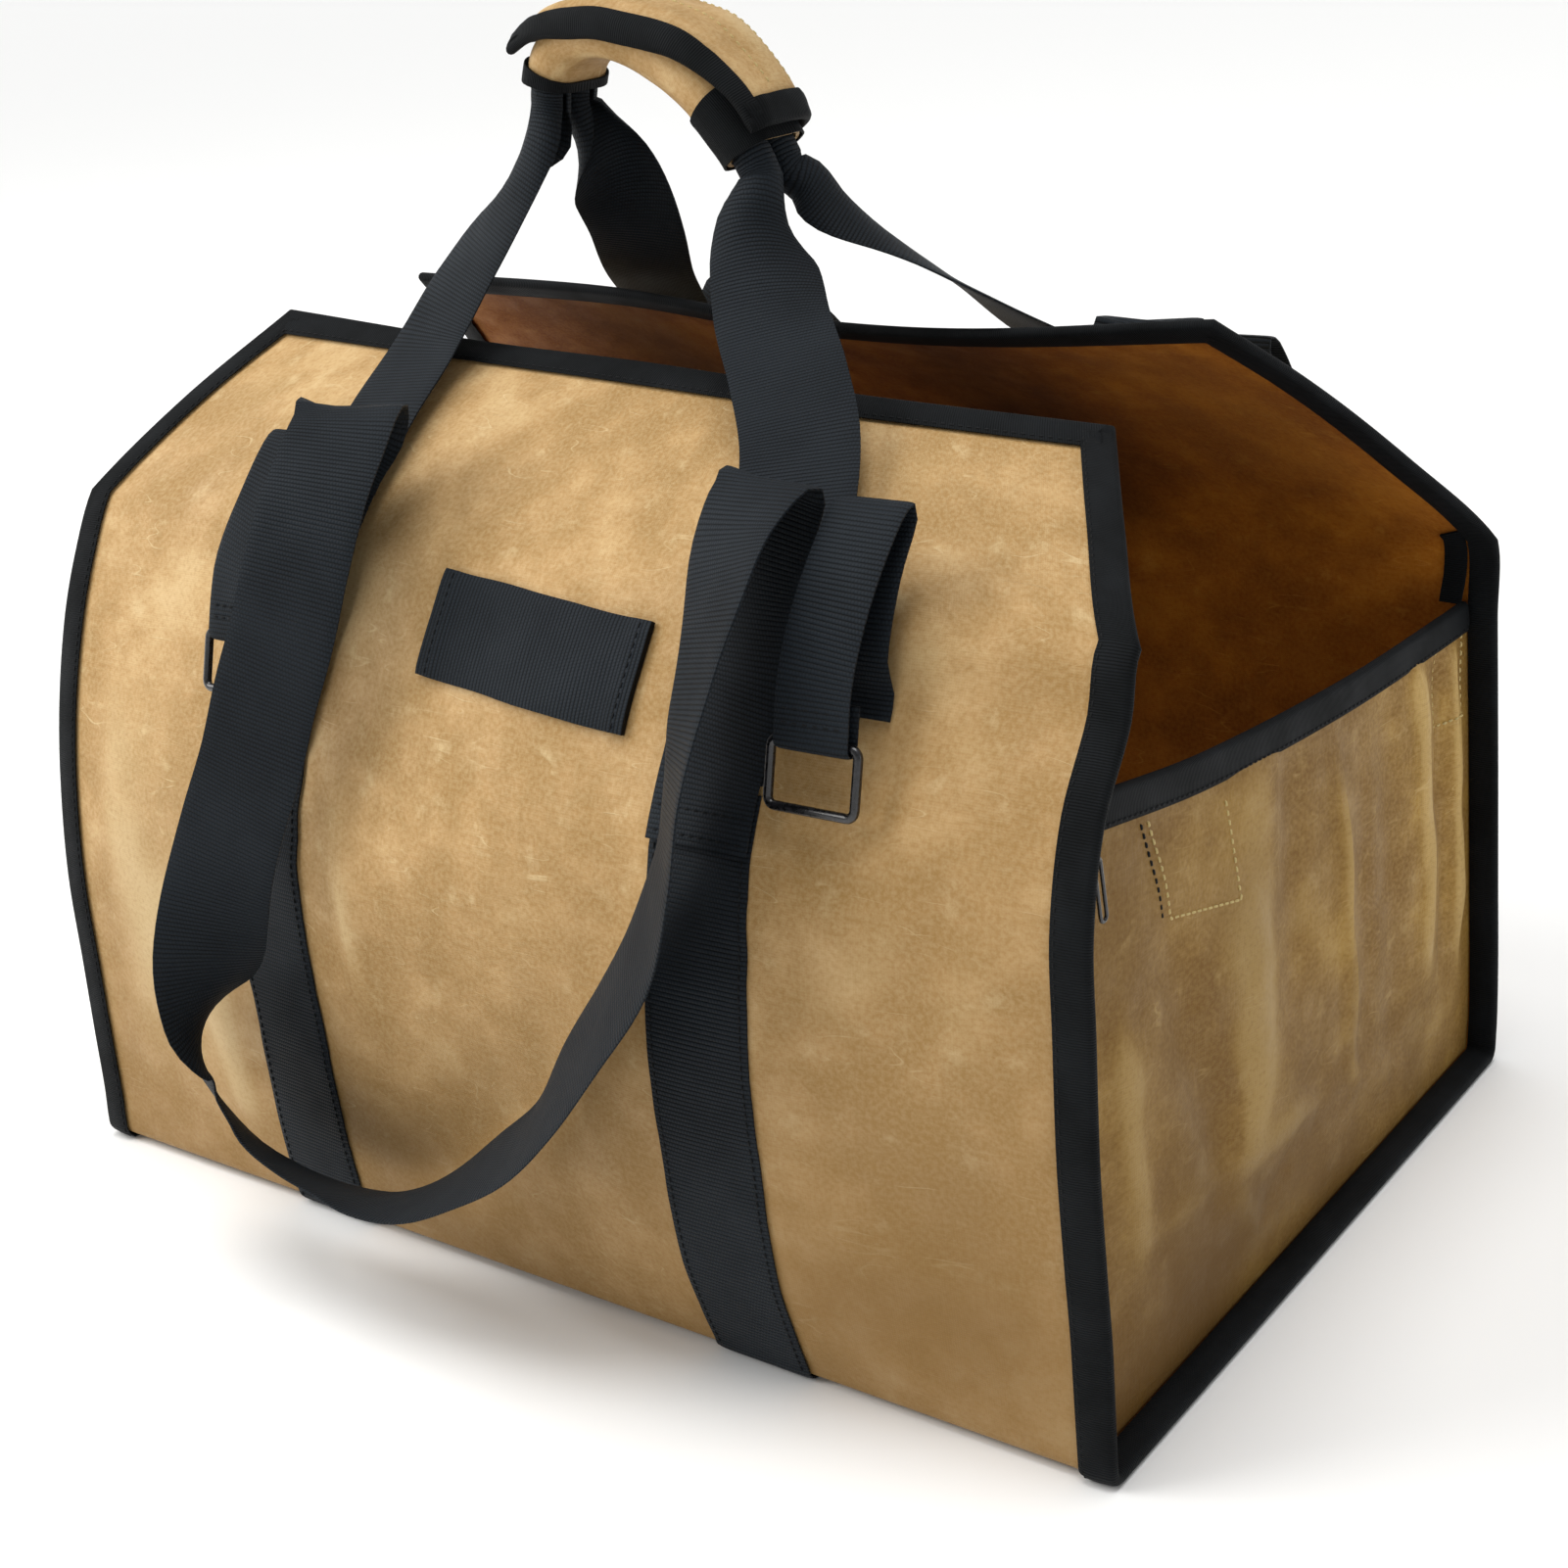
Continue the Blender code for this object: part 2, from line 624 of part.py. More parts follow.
def end_grid(end):
    """Grid of an end panel's points, bottom row first, and where its top edge starts."""
    inner = FOLD_RADIUS - CANVAS - SOFT_GAP
    tops = {side: end_corner(end, side) for side in (FRONT, BACK)}
    corners = {side: profile_y(end, side, tops[side]) for side in (FRONT, BACK)}
    edge = [end_height((1 - share) * corners[FRONT] + share * corners[BACK])
            for share in END_COLUMNS]
    edge = np.array(edge)
    levels = [np.full(len(edge), END_FLOOR + inner * (1 - math.cos(math.radians(angle))))
              for angle in (0, 30, 60, 90)]
    floor = END_FLOOR + inner
    levels += [floor + (edge - floor) * rise for rise in END_RISES]
    levels += [edge - END_TAPE, edge]
    grid = []
    for heights in levels:
        row = []
        for share, height, top in zip(END_COLUMNS, heights, edge):
            forward = (1 - share) * profile_y(end, FRONT, min(height, tops[FRONT]))
            forward += share * profile_y(end, BACK, min(height, tops[BACK]))
            rise = (height - END_FLOOR) / (top - END_FLOOR)
            bulge = math.sin(math.pi * share) * math.sin(math.pi * rise) ** BULGE_FULLNESS
            row.append((end * (END_FACE + bulge * END_BULGE), forward, height))
        grid.append(row)
    return np.array(grid)


def end_panel(name, binding_name, end):
    """Canvas end and the tape over its top edge; end is 1 at the right, -1 at the left."""
    grid = end_grid(end)
    normals = np.zeros_like(grid)
    normals[..., 0] = end
    canvas(name, *slab(grid, normals, -CANVAS, 0.0))

    top = grid[-1]
    under = grid[-2]
    lengths = np.concatenate([[0.0], np.cumsum(np.linalg.norm(np.diff(top, axis=0), axis=1))])
    stops = [END_TAPE_SETBACK] + list(lengths[1:-1]) + [lengths[-1] - END_TAPE_SETBACK]
    sections = []
    for stop in stops:
        edge = np.array([np.interp(stop, lengths, top[:, i]) for i in range(3)])
        low = np.array([np.interp(stop, lengths, under[:, i]) for i in range(3)])
        normal = np.array([end, 0.0, 0.0])
        up = np.array([0.0, 0.0, 1.0])
        sections.append(folded_tape(edge, low, low, (normal, normal, normal), up))
    tape(binding_name, *sweep(sections, closed=False))


def carry_webbing(name, side):
    """Strap sewn up the front, under the base and up the back."""
    edges = [(HALF_STRAPS + WEB_WIDTH * k / 2) / HALF_WIDTH * side for k in (-side, 0, side)]
    start = length_at(FRONT, edges[1], SEWN_HEIGHT)
    end = length_at(BACK, edges[1], SEWN_HEIGHT)
    inside = [row for row in ROWS if start + ROW_MARGIN < row < end - ROW_MARGIN]
    rows = [start] + inside + [end]
    faces = np.array([[facet(share, row) for share in edges] for row in rows])
    webbing(name, *slab(faces[:, :, 0], faces[:, :, 1], GAP, GAP + WEBBING))


def sewn_row(share, length, lift):
    """A route row on a panel's face: its point and the turn of the face across there."""
    point, normal = facet(share, length)
    step = WEB_WIDTH / 2 / HALF_WIDTH
    slope = facet(share + step, length)[0] - facet(share - step, length)[0]
    return point + unit(normal) * lift, math.degrees(math.atan2(slope[1], slope[0]))


def lying_rows(side, across, start, lift, looseness=0.0):
    """Route rows on a panel's face, from a height at or under the seam to the lying top.

    across runs from its value at the seam to its value where the webbing leaves the panel.
    """
    share = across[0] / HALF_WIDTH
    low = length_at(side, share, start)
    seam = length_at(side, share, max(start, SEWN_HEIGHT))
    high = length_at(side, share, LYING_TOP * BODY_HEIGHT)
    between = sorted((low, high))
    inside = [row for row in ROWS if between[0] + ROW_MARGIN < row < between[1] - ROW_MARGIN]
    if side == FRONT:
        inside.reverse()
    lengths = [low] + inside + [high]
    points = []
    turns = []
    for length in lengths:
        t = float(np.clip((length - seam) / (high - seam), 0.0, 1.0))
        place = across[0] * (1 - t) + across[1] * t
        point, turn = sewn_row(place / HALF_WIDTH, length, lift + t * looseness)
        points.append(point)
        turns.append(turn)
    return points, turns


def free_point(across, forward, height, side):
    """Point of free webbing from its shares."""
    return (across * HALF_STRAPS, side * forward * HALF_DEPTH, height * BODY_HEIGHT)


def hung_point(across, forward, height, side):
    """Point of a loop or a ring strap, which stands further out at the back."""
    if side == BACK:
        stand = np.interp(across, (-1.0, 1.0), BACK_STAND)
        forward += float(stand * np.interp(height, BACK_STAND_HEIGHTS, (0.0, 1.0)))
    return free_point(across, forward, height, side)


def free_rows(table, side, place):
    """Points, turns and last column of a table of free webbing on the front or the back."""
    points = [place(*row[:3], side) for row in table]
    turns = [-side * row[3] for row in table]
    return points, turns, [row[4] for row in table]


def spaced(points, turns, rolls, step, tips=None):
    """Rows no further apart than step along a smooth curve through a route's points."""
    points = np.array(points, float)
    tips = np.zeros(len(points)) if tips is None else tips
    rows = np.column_stack([points, turns, rolls, tips])
    places = np.concatenate([[0.0], np.cumsum(np.linalg.norm(np.diff(points, axis=0), axis=1))])
    return np.array([blend(places, rows, place) for place in even_steps(list(places), step)])


def tangents(points):
    ahead = np.vstack([points[1:], points[-1:]])
    behind = np.vstack([points[:1], points[:-1]])
    return unit(ahead - behind)


def ribbon_grid(rows, width, columns, bend=1):
    """Grid and normals of webbing along rows of point, turn, roll and tip."""
    points = rows[:, :3]
    along = tangents(points)
    full_roll = WEB_WIDTH / ROLL_RADIUS
    grid = []
    normals = []
    for point, ahead, (turn, roll, tip) in zip(points, along, rows[:, 3:]):
        across = np.array([math.cos(math.radians(turn)), math.sin(math.radians(turn)), 0.0])
        across = unit(across - ahead * across.dot(ahead))
        face = np.cross(ahead, across)
        lean = math.radians(tip)
        across = across * math.cos(lean) + face * math.sin(lean)
        face = np.cross(ahead, across)
        curl = max(full_roll * roll, 1e-3)
        radius = width / curl
        drop = radius * (1 - math.sin(curl / 2) / (curl / 2))
        line = []
        line_normals = []
        for i in range(columns):
            angle = curl * (i / (columns - 1) - 0.5)
            away = radius * (1 - math.cos(angle)) - drop
            line.append(point + across * radius * math.sin(angle) + face * bend * away)
            line_normals.append(face * math.cos(angle) - across * bend * math.sin(angle))
        grid.append(line)
        normals.append(line_normals)
    return np.array(grid), np.array(normals)


def grip_rows():
    """Middle line of the grip as points, one for each row of the arch's table."""
    return np.array([(across * HALF_STRAPS, 0.0, height * BODY_HEIGHT)
                     for across, height in GRIP_ARCH])


ROLL_SPACING = ROLL_RADIUS + WEBBING / 2 + GAP / 2
FULL_ROLL = WEB_WIDTH / ROLL_RADIUS
ROLL_DROP = ROLL_RADIUS * math.sin(FULL_ROLL / 2) / (FULL_ROLL / 2)


def short_handle(name, side, left, right):
    """Free webbing from the left sewn end through the grip to the right sewn end."""
    lift = SOFT_GAP + WEBBING / 2
    legs = []
    for across, table in ((-HALF_STRAPS, left), (HALF_STRAPS, right)):
        points, turns, rolls = free_rows(table, side, free_point)
        lying, angles = lying_rows(side, (across, across), SEWN_HEIGHT + STITCH_GAP, lift)
        flat = [0.0] * len(lying)
        if across < 0:
            points = lying + points
            turns = angles + turns
            rolls = flat + rolls
        else:
            points = points + lying[::-1]
            turns = turns + [angle + side * 180 for angle in reversed(angles)]
            rolls = rolls + flat
        legs.append((points, turns, rolls))
    arch = grip_rows()
    arch[:, 1] = side * ROLL_SPACING
    turn = side * 90.0
    middle = np.array([(*point, turn, 1.0, 0.0) for point in arch])
    points, turns, rolls = legs[0]
    first = spaced(points + [arch[0]], turns + [turn], rolls + [1.0], LEG_STEP)
    points, turns, rolls = legs[1]
    final = spaced([arch[-1]] + points, [turn] + turns, [1.0] + rolls, LEG_STEP)
    rows = np.vstack([first[:-1], middle, final[1:]])
    grid, normals = ribbon_grid(rows, WEB_WIDTH, ROLL_COLUMNS, bend=-side)
    webbing(name, *slab(grid, normals, -WEBBING / 2, WEBBING / 2))


def stadium(half_straight, radius):
    """Loop of a flat round section in Y and Z, as pairs; its flats stand at the radius."""
    radius /= math.cos(math.pi / ROUND_STEPS / 2)
    loop = []
    for centre, start in ((half_straight, -90), (-half_straight, 90)):
        for i in range(ROUND_STEPS + 1):
            angle = math.radians(start + 180 * i / ROUND_STEPS)
            loop.append((centre + radius * math.cos(angle), radius * math.sin(angle)))
    return loop


def grip_frames():
    """Centre, along and up of the sleeve at each row of the arch."""
    points = grip_rows()
    along = tangents(points)
    up = unit(np.cross(along, np.array([0.0, 1.0, 0.0])))
    up *= np.sign(up[:, 2:3])
    return points - up * ROLL_DROP, along, up


SLEEVE_INNER = ROLL_RADIUS + WEBBING / 2 + GAP


def ring_sections(rows, inner, outer):
    """Sections of a tube wall round the grip between two offsets, at rows of its frames."""
    centres, _, ups = grip_frames()
    side = np.array([0.0, 1.0, 0.0])
    outside = []
    inside = []
    for row in rows:
        k = int(row)
        t = row - k
        centre = centres[k] if t == 0 else centres[k] * (1 - t) + centres[k + 1] * t
        up = ups[k] if t == 0 else unit(ups[k] * (1 - t) + ups[k + 1] * t)
        for radius, loops in ((outer, outside), (inner, inside)):
            loops.append([centre + side * y + up * z for y, z in stadium(ROLL_SPACING, radius)])
    return outside, inside


def tube_wall(outside, inside):
    """Closed solid of an open-ended tube from its outer and inner loops."""
    return sweep(np.array(outside + inside[::-1]), closed=True)


def grip():
    """Canvas sleeve and the tape bands at its ends."""
    last = len(GRIP_ARCH) - 2
    sleeve = SLEEVE_INNER + CANVAS
    points, faces = tube_wall(*ring_sections(range(1, last + 1), SLEEVE_INNER, sleeve))
    canvas("grip_sleeve", points, faces)
    inner = sleeve + GAP
    outer = inner + TAPE
    for name, rows in (("grip_band_right", (last - 2, last - 1, last)),
                       ("grip_band_left", (1, 1.5))):
        points, faces = tube_wall(*ring_sections(rows, inner, outer))
        tape(name, points, faces)


def flap_grid(radius):
    """Inner face of the flap and its normals, left to right and front to back."""
    line = np.array([(across * HALF_STRAPS, 0.0, height * BODY_HEIGHT)
                     for across, height, _ in GRIP_FLAP])
    along = tangents(line)
    side = np.array([0.0, 1.0, 0.0])
    up = unit(np.cross(along, side))
    up *= np.sign(up[:, 2:3])
    grid = []
    normals = []
    for centre, high, (_, _, wrap) in zip(line, up, GRIP_FLAP):
        row = []
        row_normals = []
        for angle in FLAP_ANGLES:
            turn = math.radians(angle * wrap if angle < 0 else angle)
            shift = ROLL_SPACING * np.sign(angle)
            row.append(centre + side * (shift + radius * math.sin(turn))
                       + high * radius * (math.cos(turn) - 1))
            row_normals.append(side * math.sin(turn) + high * math.cos(turn))
        grid.append(row)
        normals.append(row_normals)
    return np.array(grid), np.array(normals)


def grip_flap():
    """Canvas flap over the grip and the tape round its front edge and its two ends."""
    grid, normals = flap_grid(SLEEVE_INNER + CANVAS + 2 * (TAPE_GAP + TAPE) + GAP)
    canvas("grip_flap", *slab(grid, normals, 0.0, CANVAS))

    face = grid + normals * CANVAS

    def section(row, column, row_step, column_step):
        """Tape section at an edge point; the steps lead to the next points inside the edge."""
        edge = face[row, column]
        inside = face[row + row_step, column + column_step]
        share = min(FLAP_TAPE / np.linalg.norm(inside - edge), 1.0)
        leg = edge + (inside - edge) * share
        at_edge = normals[row, column]
        at_leg = at_edge * (1 - share) + normals[row + row_step, column + column_step] * share
        return folded_tape(edge, leg, leg, (at_edge, at_leg, at_leg), unit(edge - inside))

    last_row = len(grid) - 1
    last_column = len(FLAP_ANGLES) - 1
    sections = [section(0, column, 1, 0) for column in range(last_column, 0, -1)]
    sections += [section(0, 0, 1, 1)]
    sections += [section(row, 0, 0, 1) for row in range(1, last_row)]
    sections += [section(last_row, 0, -1, 1)]
    sections += [section(last_row, column, -1, 0) for column in range(1, last_column + 1)]
    tape("grip_binding", *sweep(sections, closed=False))


def wire_ring(name, top, across, down):
    """Rectangular wire ring with round corners, its top bar's middle at top."""
    wide = (RING_WIDTH - RING_WIRE) / 2 - RING_CORNER
    high = (RING_HEIGHT - RING_WIRE) / 2 - RING_CORNER
    centre = top + down * (high + RING_CORNER)
    face = np.cross(across, down)
    sections = []
    for x, z, start in ((wide, high, 0), (-wide, high, 90), (-wide, -high, 180), (wide, -high, 270)):
        for step in range(4):
            angle = math.radians(start + 30 * step)
            out = across * math.cos(angle) + down * math.sin(angle)
            middle = centre + across * x + down * z + out * RING_CORNER
            sections.append([middle + RING_WIRE / 2 * (out * math.cos(a) + face * math.sin(a))
                             for a in np.radians(range(0, 360, 60))])
    painted_metal(name, *sweep(sections, closed=True))


def ring_strap(name, ring_name, side, seam, lift, looseness, table):
    """Strap that folds over beside the handle and holds a ring, sewn on from a height up."""
    route = [hung_point(*row, side) for row in table]
    across = (route[0][0], route[0][0])
    lying, angles = lying_rows(side, across, seam, lift + WEBBING / 2, looseness)
    points = np.array(lying + route)
    turns = np.array(angles + [0.0] * len(route))
    top = points[-1]
    down = unit(points[-1] - points[-2])
    behind = np.array([0.0, -side, 0.0])
    behind = unit(behind - down * behind.dot(down))
    turn_radius = RING_WIRE / 2 + GAP + WEBBING / 2
    bar = top + behind * turn_radius
    rows = spaced(points, turns, np.zeros(len(points)), RING_STEP)
    bend = []
    for angle in (36, 72, 108, 144, 180):
        a = math.radians(angle)
        bend.append(bar + turn_radius * (down * math.sin(a) - behind * math.cos(a)))
    bend += [bend[-1] - down * STITCH_GAP, bend[-1] - down * RING_HEM]
    rows = np.vstack([rows] + [(*point, 0.0, 0.0, 0.0) for point in bend])
    grid, normals = ribbon_grid(rows, RING_WEB, 2)
    webbing(name, *slab(grid, normals, -WEBBING / 2, WEBBING / 2))
    wire_ring(ring_name, bar, np.cross(down, -behind), down)


def shoulder_handle(name, side):
    """Long loop, sewn over the straps, folded forward at the top and hanging down."""
    lift = GAP + WEBBING + HANDLE_GAP + WEBBING / 2
    points, turns, tips = free_rows(LOOP_FREE, side, hung_point)
    start = SEWN_HEIGHT - SEWN_OVERLAP
    left, left_turns = lying_rows(side, (-HALF_STRAPS, points[0][0]), start, lift,
                                  LOOP_LOOSENESS)
    right, right_turns = lying_rows(side, (HALF_STRAPS, points[-1][0]), start, lift,
                                    LOOP_LOOSENESS)
    route = left + points + right[::-1]
    angles = left_turns + turns + [turn - side * 180 for turn in reversed(right_turns)]
    leans = [0.0] * len(left) + [side * tip for tip in tips] + [0.0] * len(right)
    rows = spaced(route, angles, [0.0] * len(route), LOOP_STEP, leans)
    grid, normals = ribbon_grid(rows, WEB_WIDTH, 2)
    webbing(name, *slab(grid, normals, -WEBBING / 2, WEBBING / 2))


def webbing_tab():
    """Flat webbing tab sewn across the middle of the front."""
    lean = math.radians(TAB_LEAN)
    grid = []
    normals = []
    for down in (-0.5, 0.0, 0.5):
        row = []
        row_normals = []
        for across in np.linspace(-0.5, 0.5, 7):
            x = TAB_ACROSS * HALF_STRAPS + across * TAB_LENGTH * math.cos(lean)
            x -= down * TAB_WIDTH * math.sin(lean)
            height = TAB_HEIGHT * BODY_HEIGHT
            drop = down * TAB_WIDTH + across * TAB_LENGTH * math.sin(lean)
            share = x / HALF_WIDTH
            length = length_at(FRONT, share, height) + drop
            point, normal = facet(share, length)
            row.append(point)
            row_normals.append(normal)
        grid.append(row)
        normals.append(row_normals)
    webbing("webbing_tab", *slab(np.array(grid), np.array(normals), SOFT_GAP, SOFT_GAP + WEBBING))


def box(name, centre, size, finish, lean=0.0):
    """Small block with softened edges."""
    half = np.array(size) / 2
    soft = min(half) * SOFT_EDGE
    loops = []
    for z, shrink in ((-1, soft), (-1, 0.0), (1, 0.0), (1, soft)):
        height = z * (half[2] - (soft if shrink == 0.0 else 0.0))
        loop = []
        for x, y in ((-1, -1), (1, -1), (1, 1), (-1, 1)):
            px = x * (half[0] - shrink)
            py = y * (half[1] - shrink)
            turned = (px, py * math.cos(lean) - height * math.sin(lean),
                      py * math.sin(lean) + height * math.cos(lean))
            loop.append(np.array(turned) + centre)
        loops.append(loop)
    points, faces = sweep(loops, closed=False)
    finish(name, points, faces)


def zip_slider(name, pull_name, end):
    """Slider at the top front corner of an end and the pull that hangs from it."""
    corner = end_corner(end, FRONT) - END_TAPE
    forward = profile_y(end, FRONT, corner) + SLIDER_SETBACK + SLIDER_WIDTH / 2
    top = end_height(forward + SLIDER_WIDTH / 2) - END_TAPE - SLIDER_DROP
    height = top - SLIDER_LENGTH / 2
    face = END_FACE + SOFT_GAP
    slider = np.array([end * (face + SLIDER_DEPTH / 2), forward, height])
    box(name, slider, (SLIDER_DEPTH, SLIDER_WIDTH, SLIDER_LENGTH), painted_metal)
    pull = slider.copy()
    pull[0] = end * (face + SLIDER_DEPTH + GAP + PULL_DEPTH / 2)
    pull[2] = height + SLIDER_LENGTH / 4 - PULL_LENGTH / 2
    size = (PULL_DEPTH, PULL_WIDTH, PULL_LENGTH)
    box(pull_name, pull, size, painted_metal, math.radians(PULL_LEAN))


def corner_tape():
    """Loose tape end that lies inside the back at the right corner."""
    lift = CANVAS + SOFT_GAP + TAPE / 2
    across = END_FACE - CORNER_TAIL_WIDTH / 2
    low = end_corner(1, BACK) + TAPE + SOFT_GAP
    rows = []
    for share, curl in CORNER_CURL:
        length = length_at(BACK, across / HALF_WIDTH, low + share * CORNER_TAIL_LENGTH)
        point, turn = sewn_row(across / HALF_WIDTH, length, -lift - curl)
        rows.append((*point, turn, 0.0, 0.0))
    grid, normals = ribbon_grid(np.array(rows), CORNER_TAIL_WIDTH, 3)
    tape("corner_tape", *slab(grid, normals, -TAPE / 2, TAPE / 2))


body_canvas()
edge_binding()
end_panel("end_panel_right", "end_binding_right", 1)
end_panel("end_panel_left", "end_binding_left", -1)
carry_webbing("carry_webbing_right", 1)
carry_webbing("carry_webbing_left", -1)
short_handle("front_handle", FRONT, HANDLE_LEFT_FRONT, HANDLE_RIGHT_FRONT)
short_handle("back_handle", BACK, HANDLE_LEFT_BACK, HANDLE_RIGHT_BACK)
grip()
grip_flap()
shoulder_handle("shoulder_handle_front", FRONT)
shoulder_handle("shoulder_handle_back", BACK)
for place, side in (("front", FRONT), ("back", BACK)):
    ring_strap("ring_strap_" + place + "_right", "wire_ring_" + place + "_right", side,
               RING_SEWN_HEIGHT, SOFT_GAP, RING_LOOSENESS[1], RING_STRAP_RIGHT)
    ring_strap("ring_strap_" + place + "_left", "wire_ring_" + place + "_left", side,
               SEWN_HEIGHT - SEWN_OVERLAP, GAP + 2 * WEBBING + STRAP_GAP, RING_LOOSENESS[0],
               RING_STRAP_LEFT)
webbing_tab()
zip_slider("zip_slider_right", "zip_pull_right", 1)
zip_slider("zip_slider_left", "zip_pull_left", -1)
corner_tape()
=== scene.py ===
# The looks of the canvas log carrier: its cloth, webbing, tapes, stitches and metal, set round
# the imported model, with a pale floor, soft light and the camera.

import math

import bmesh
import bpy
import numpy as np
from mathutils import Matrix, Vector


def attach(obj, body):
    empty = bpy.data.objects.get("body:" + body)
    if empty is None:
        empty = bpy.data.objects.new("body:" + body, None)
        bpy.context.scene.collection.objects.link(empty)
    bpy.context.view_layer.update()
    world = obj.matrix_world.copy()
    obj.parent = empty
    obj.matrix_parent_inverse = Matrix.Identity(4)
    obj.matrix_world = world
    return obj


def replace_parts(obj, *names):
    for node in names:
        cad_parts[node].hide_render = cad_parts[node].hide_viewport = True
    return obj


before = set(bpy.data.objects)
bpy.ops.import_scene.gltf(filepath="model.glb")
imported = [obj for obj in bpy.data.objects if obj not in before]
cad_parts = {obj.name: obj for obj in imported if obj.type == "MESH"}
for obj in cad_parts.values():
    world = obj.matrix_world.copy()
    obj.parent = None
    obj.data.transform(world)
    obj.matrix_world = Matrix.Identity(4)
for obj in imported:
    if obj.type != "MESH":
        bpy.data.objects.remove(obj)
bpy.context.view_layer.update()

# Driving dimensions, in metres.
BODY_WIDTH = 0.600
BODY_DEPTH = 0.400
BODY_HEIGHT = 0.400
CLIP_INSET = 0.069
FOLD_RADIUS = 0.006
CANVAS = 0.0018
WEBBING = 0.0018
TAPE = 0.0010
GAP = 0.0003
TAPE_GAP = 0.0008
SOFT_GAP = 0.0008
EDGE_TAPE = 0.0135
END_INSET = 0.012
END_TAPE = 0.012
END_BULGE = 0.006
BULGE_FULLNESS = 0.7
END_TAPE_SETBACK = 0.003
WEB_WIDTH = 0.050
STRAP_SPACING = 0.262
SEWN_HEIGHT = 0.268
SEWN_OVERLAP = 0.022
STITCH_GAP = 0.003
HANDLE_GAP = 0.0012
STRAP_GAP = 0.0020
ROW_MARGIN = 0.004
RING_WEB = 0.034
RING_WIDTH = 0.044
RING_HEIGHT = 0.030
RING_WIRE = 0.004
RING_CORNER = 0.0035
RING_HEM = 0.016
RING_SEWN_HEIGHT = 0.300
TAB_LENGTH = 0.124
TAB_WIDTH = 0.048
ROLL_RADIUS = 0.0085
FLAP_TAPE = 0.011
SLIDER_WIDTH = 0.009
SLIDER_LENGTH = 0.013
SLIDER_DEPTH = 0.005
SLIDER_SETBACK = 0.0065
SLIDER_DROP = 0.002
PULL_LENGTH = 0.028
PULL_WIDTH = 0.006
PULL_DEPTH = 0.0016
PULL_LEAN = 8.0
CORNER_TAIL_WIDTH = 0.011
CORNER_TAIL_LENGTH = 0.036
CORNER_CURL = ((0.0, 0.006), (0.35, 0.002), (0.75, 0.0), (1.0, 0.0))

# Worked out from them.
HALF_WIDTH = BODY_WIDTH / 2
HALF_DEPTH = BODY_DEPTH / 2
HALF_STRAPS = STRAP_SPACING / 2
BASE_HEIGHT = WEBBING + GAP
INNER_TAPE = END_INSET - TAPE - TAPE_GAP - GAP
END_FACE = HALF_WIDTH - END_INSET
ROLL_SPACING = ROLL_RADIUS + WEBBING / 2 + GAP / 2
FULL_ROLL = WEB_WIDTH / ROLL_RADIUS
ROLL_DROP = ROLL_RADIUS * math.sin(FULL_ROLL / 2) / (FULL_ROLL / 2)
SLEEVE_INNER = ROLL_RADIUS + WEBBING / 2 + GAP
FRONT = -1
BACK = 1
TO_RIGHT = np.array([1.0, 0.0, 0.0])
TO_BACK = np.array([0.0, 1.0, 0.0])
UP = np.array([0.0, 0.0, 1.0])

# Places across the sheet where its sections are set out, as shares of half the body width.
STATIONS = (-1.0, -0.437, 0.0, 0.437, 1.0)

# Front panel, a row per level from its top edge down. clip is the share of the clipped corner
# that is cut away there. The next five columns are how far forward it stands at the stations,
# as shares of half the depth, and the last five its height there, as shares of the height, or
# the last one where the level has one height all across.
FRONT_LEVELS = (
    # clip  left   strap  middle strap  right    left    strap   middle  strap   right
    (1.00, 0.250, 0.250, 0.250, 0.250, 0.245, 1.0275, 1.0025, 0.9900, 0.9725, 0.9575),
    (0.50, 0.475, 0.485, 0.510, 0.525, 0.530, 0.9400, 0.9375, 0.9225, 0.9125, 0.9000),
    (0.00, 0.675, 0.700, 0.750, 0.790, 0.800, 0.8400, 0.8375, 0.8375, 0.8375, 0.8400),
    (0.00, 0.755, 0.770, 0.845, 0.870, 0.850, 0.7750),
    (0.00, 0.825, 0.850, 0.930, 0.950, 0.955, 0.7000),
    (0.00, 0.890, 0.965, 1.015, 1.045, 1.010, 0.6000),
    (0.00, 0.935, 1.030, 1.070, 1.085, 1.015, 0.5000),
    (0.00, 0.970, 1.043, 1.080, 1.110, 1.020, 0.3750),
    (0.00, 0.980, 1.035, 1.072, 1.100, 1.010, 0.2500),
    (0.00, 0.988, 1.025, 1.050, 1.078, 1.000, 0.1500),
    (0.00, 0.993, 1.015, 1.025, 1.035, 1.000, 0.0700),
)
# Back panel in the same columns, from the base up to its top edge.
BACK_LEVELS = (
    # clip  left   strap  middle strap  right    left    strap   middle  strap   right
    (0.00, 1.007, 1.020, 1.028, 1.022, 1.007, 0.0700),
    (0.00, 1.003, 1.035, 1.050, 1.040, 1.003, 0.1500),
    (0.00, 0.995, 1.055, 1.070, 1.060, 0.990, 0.2500),
    (0.00, 0.980, 1.065, 1.080, 1.070, 0.975, 0.3750),
    (0.00, 0.960, 1.050, 1.065, 1.055, 0.958, 0.5000),
    (0.00, 0.940, 1.010, 1.020, 1.015, 0.943, 0.6000),
    (0.00, 0.890, 0.925, 0.940, 0.950, 0.930, 0.7500, 0.7300, 0.7200, 0.7125, 0.7000),
    (0.33, 0.685, 0.715, 0.740, 0.740, 0.708, 0.8525, 0.8400, 0.8275, 0.8250, 0.8140),
    (0.67, 0.465, 0.490, 0.500, 0.490, 0.463, 0.9450, 0.9350, 0.9200, 0.9175, 0.9230),
    (1.00, 0.230, 0.225, 0.225, 0.225, 0.210, 1.0300, 1.0225, 0.9975, 0.9925, 1.0175),
)
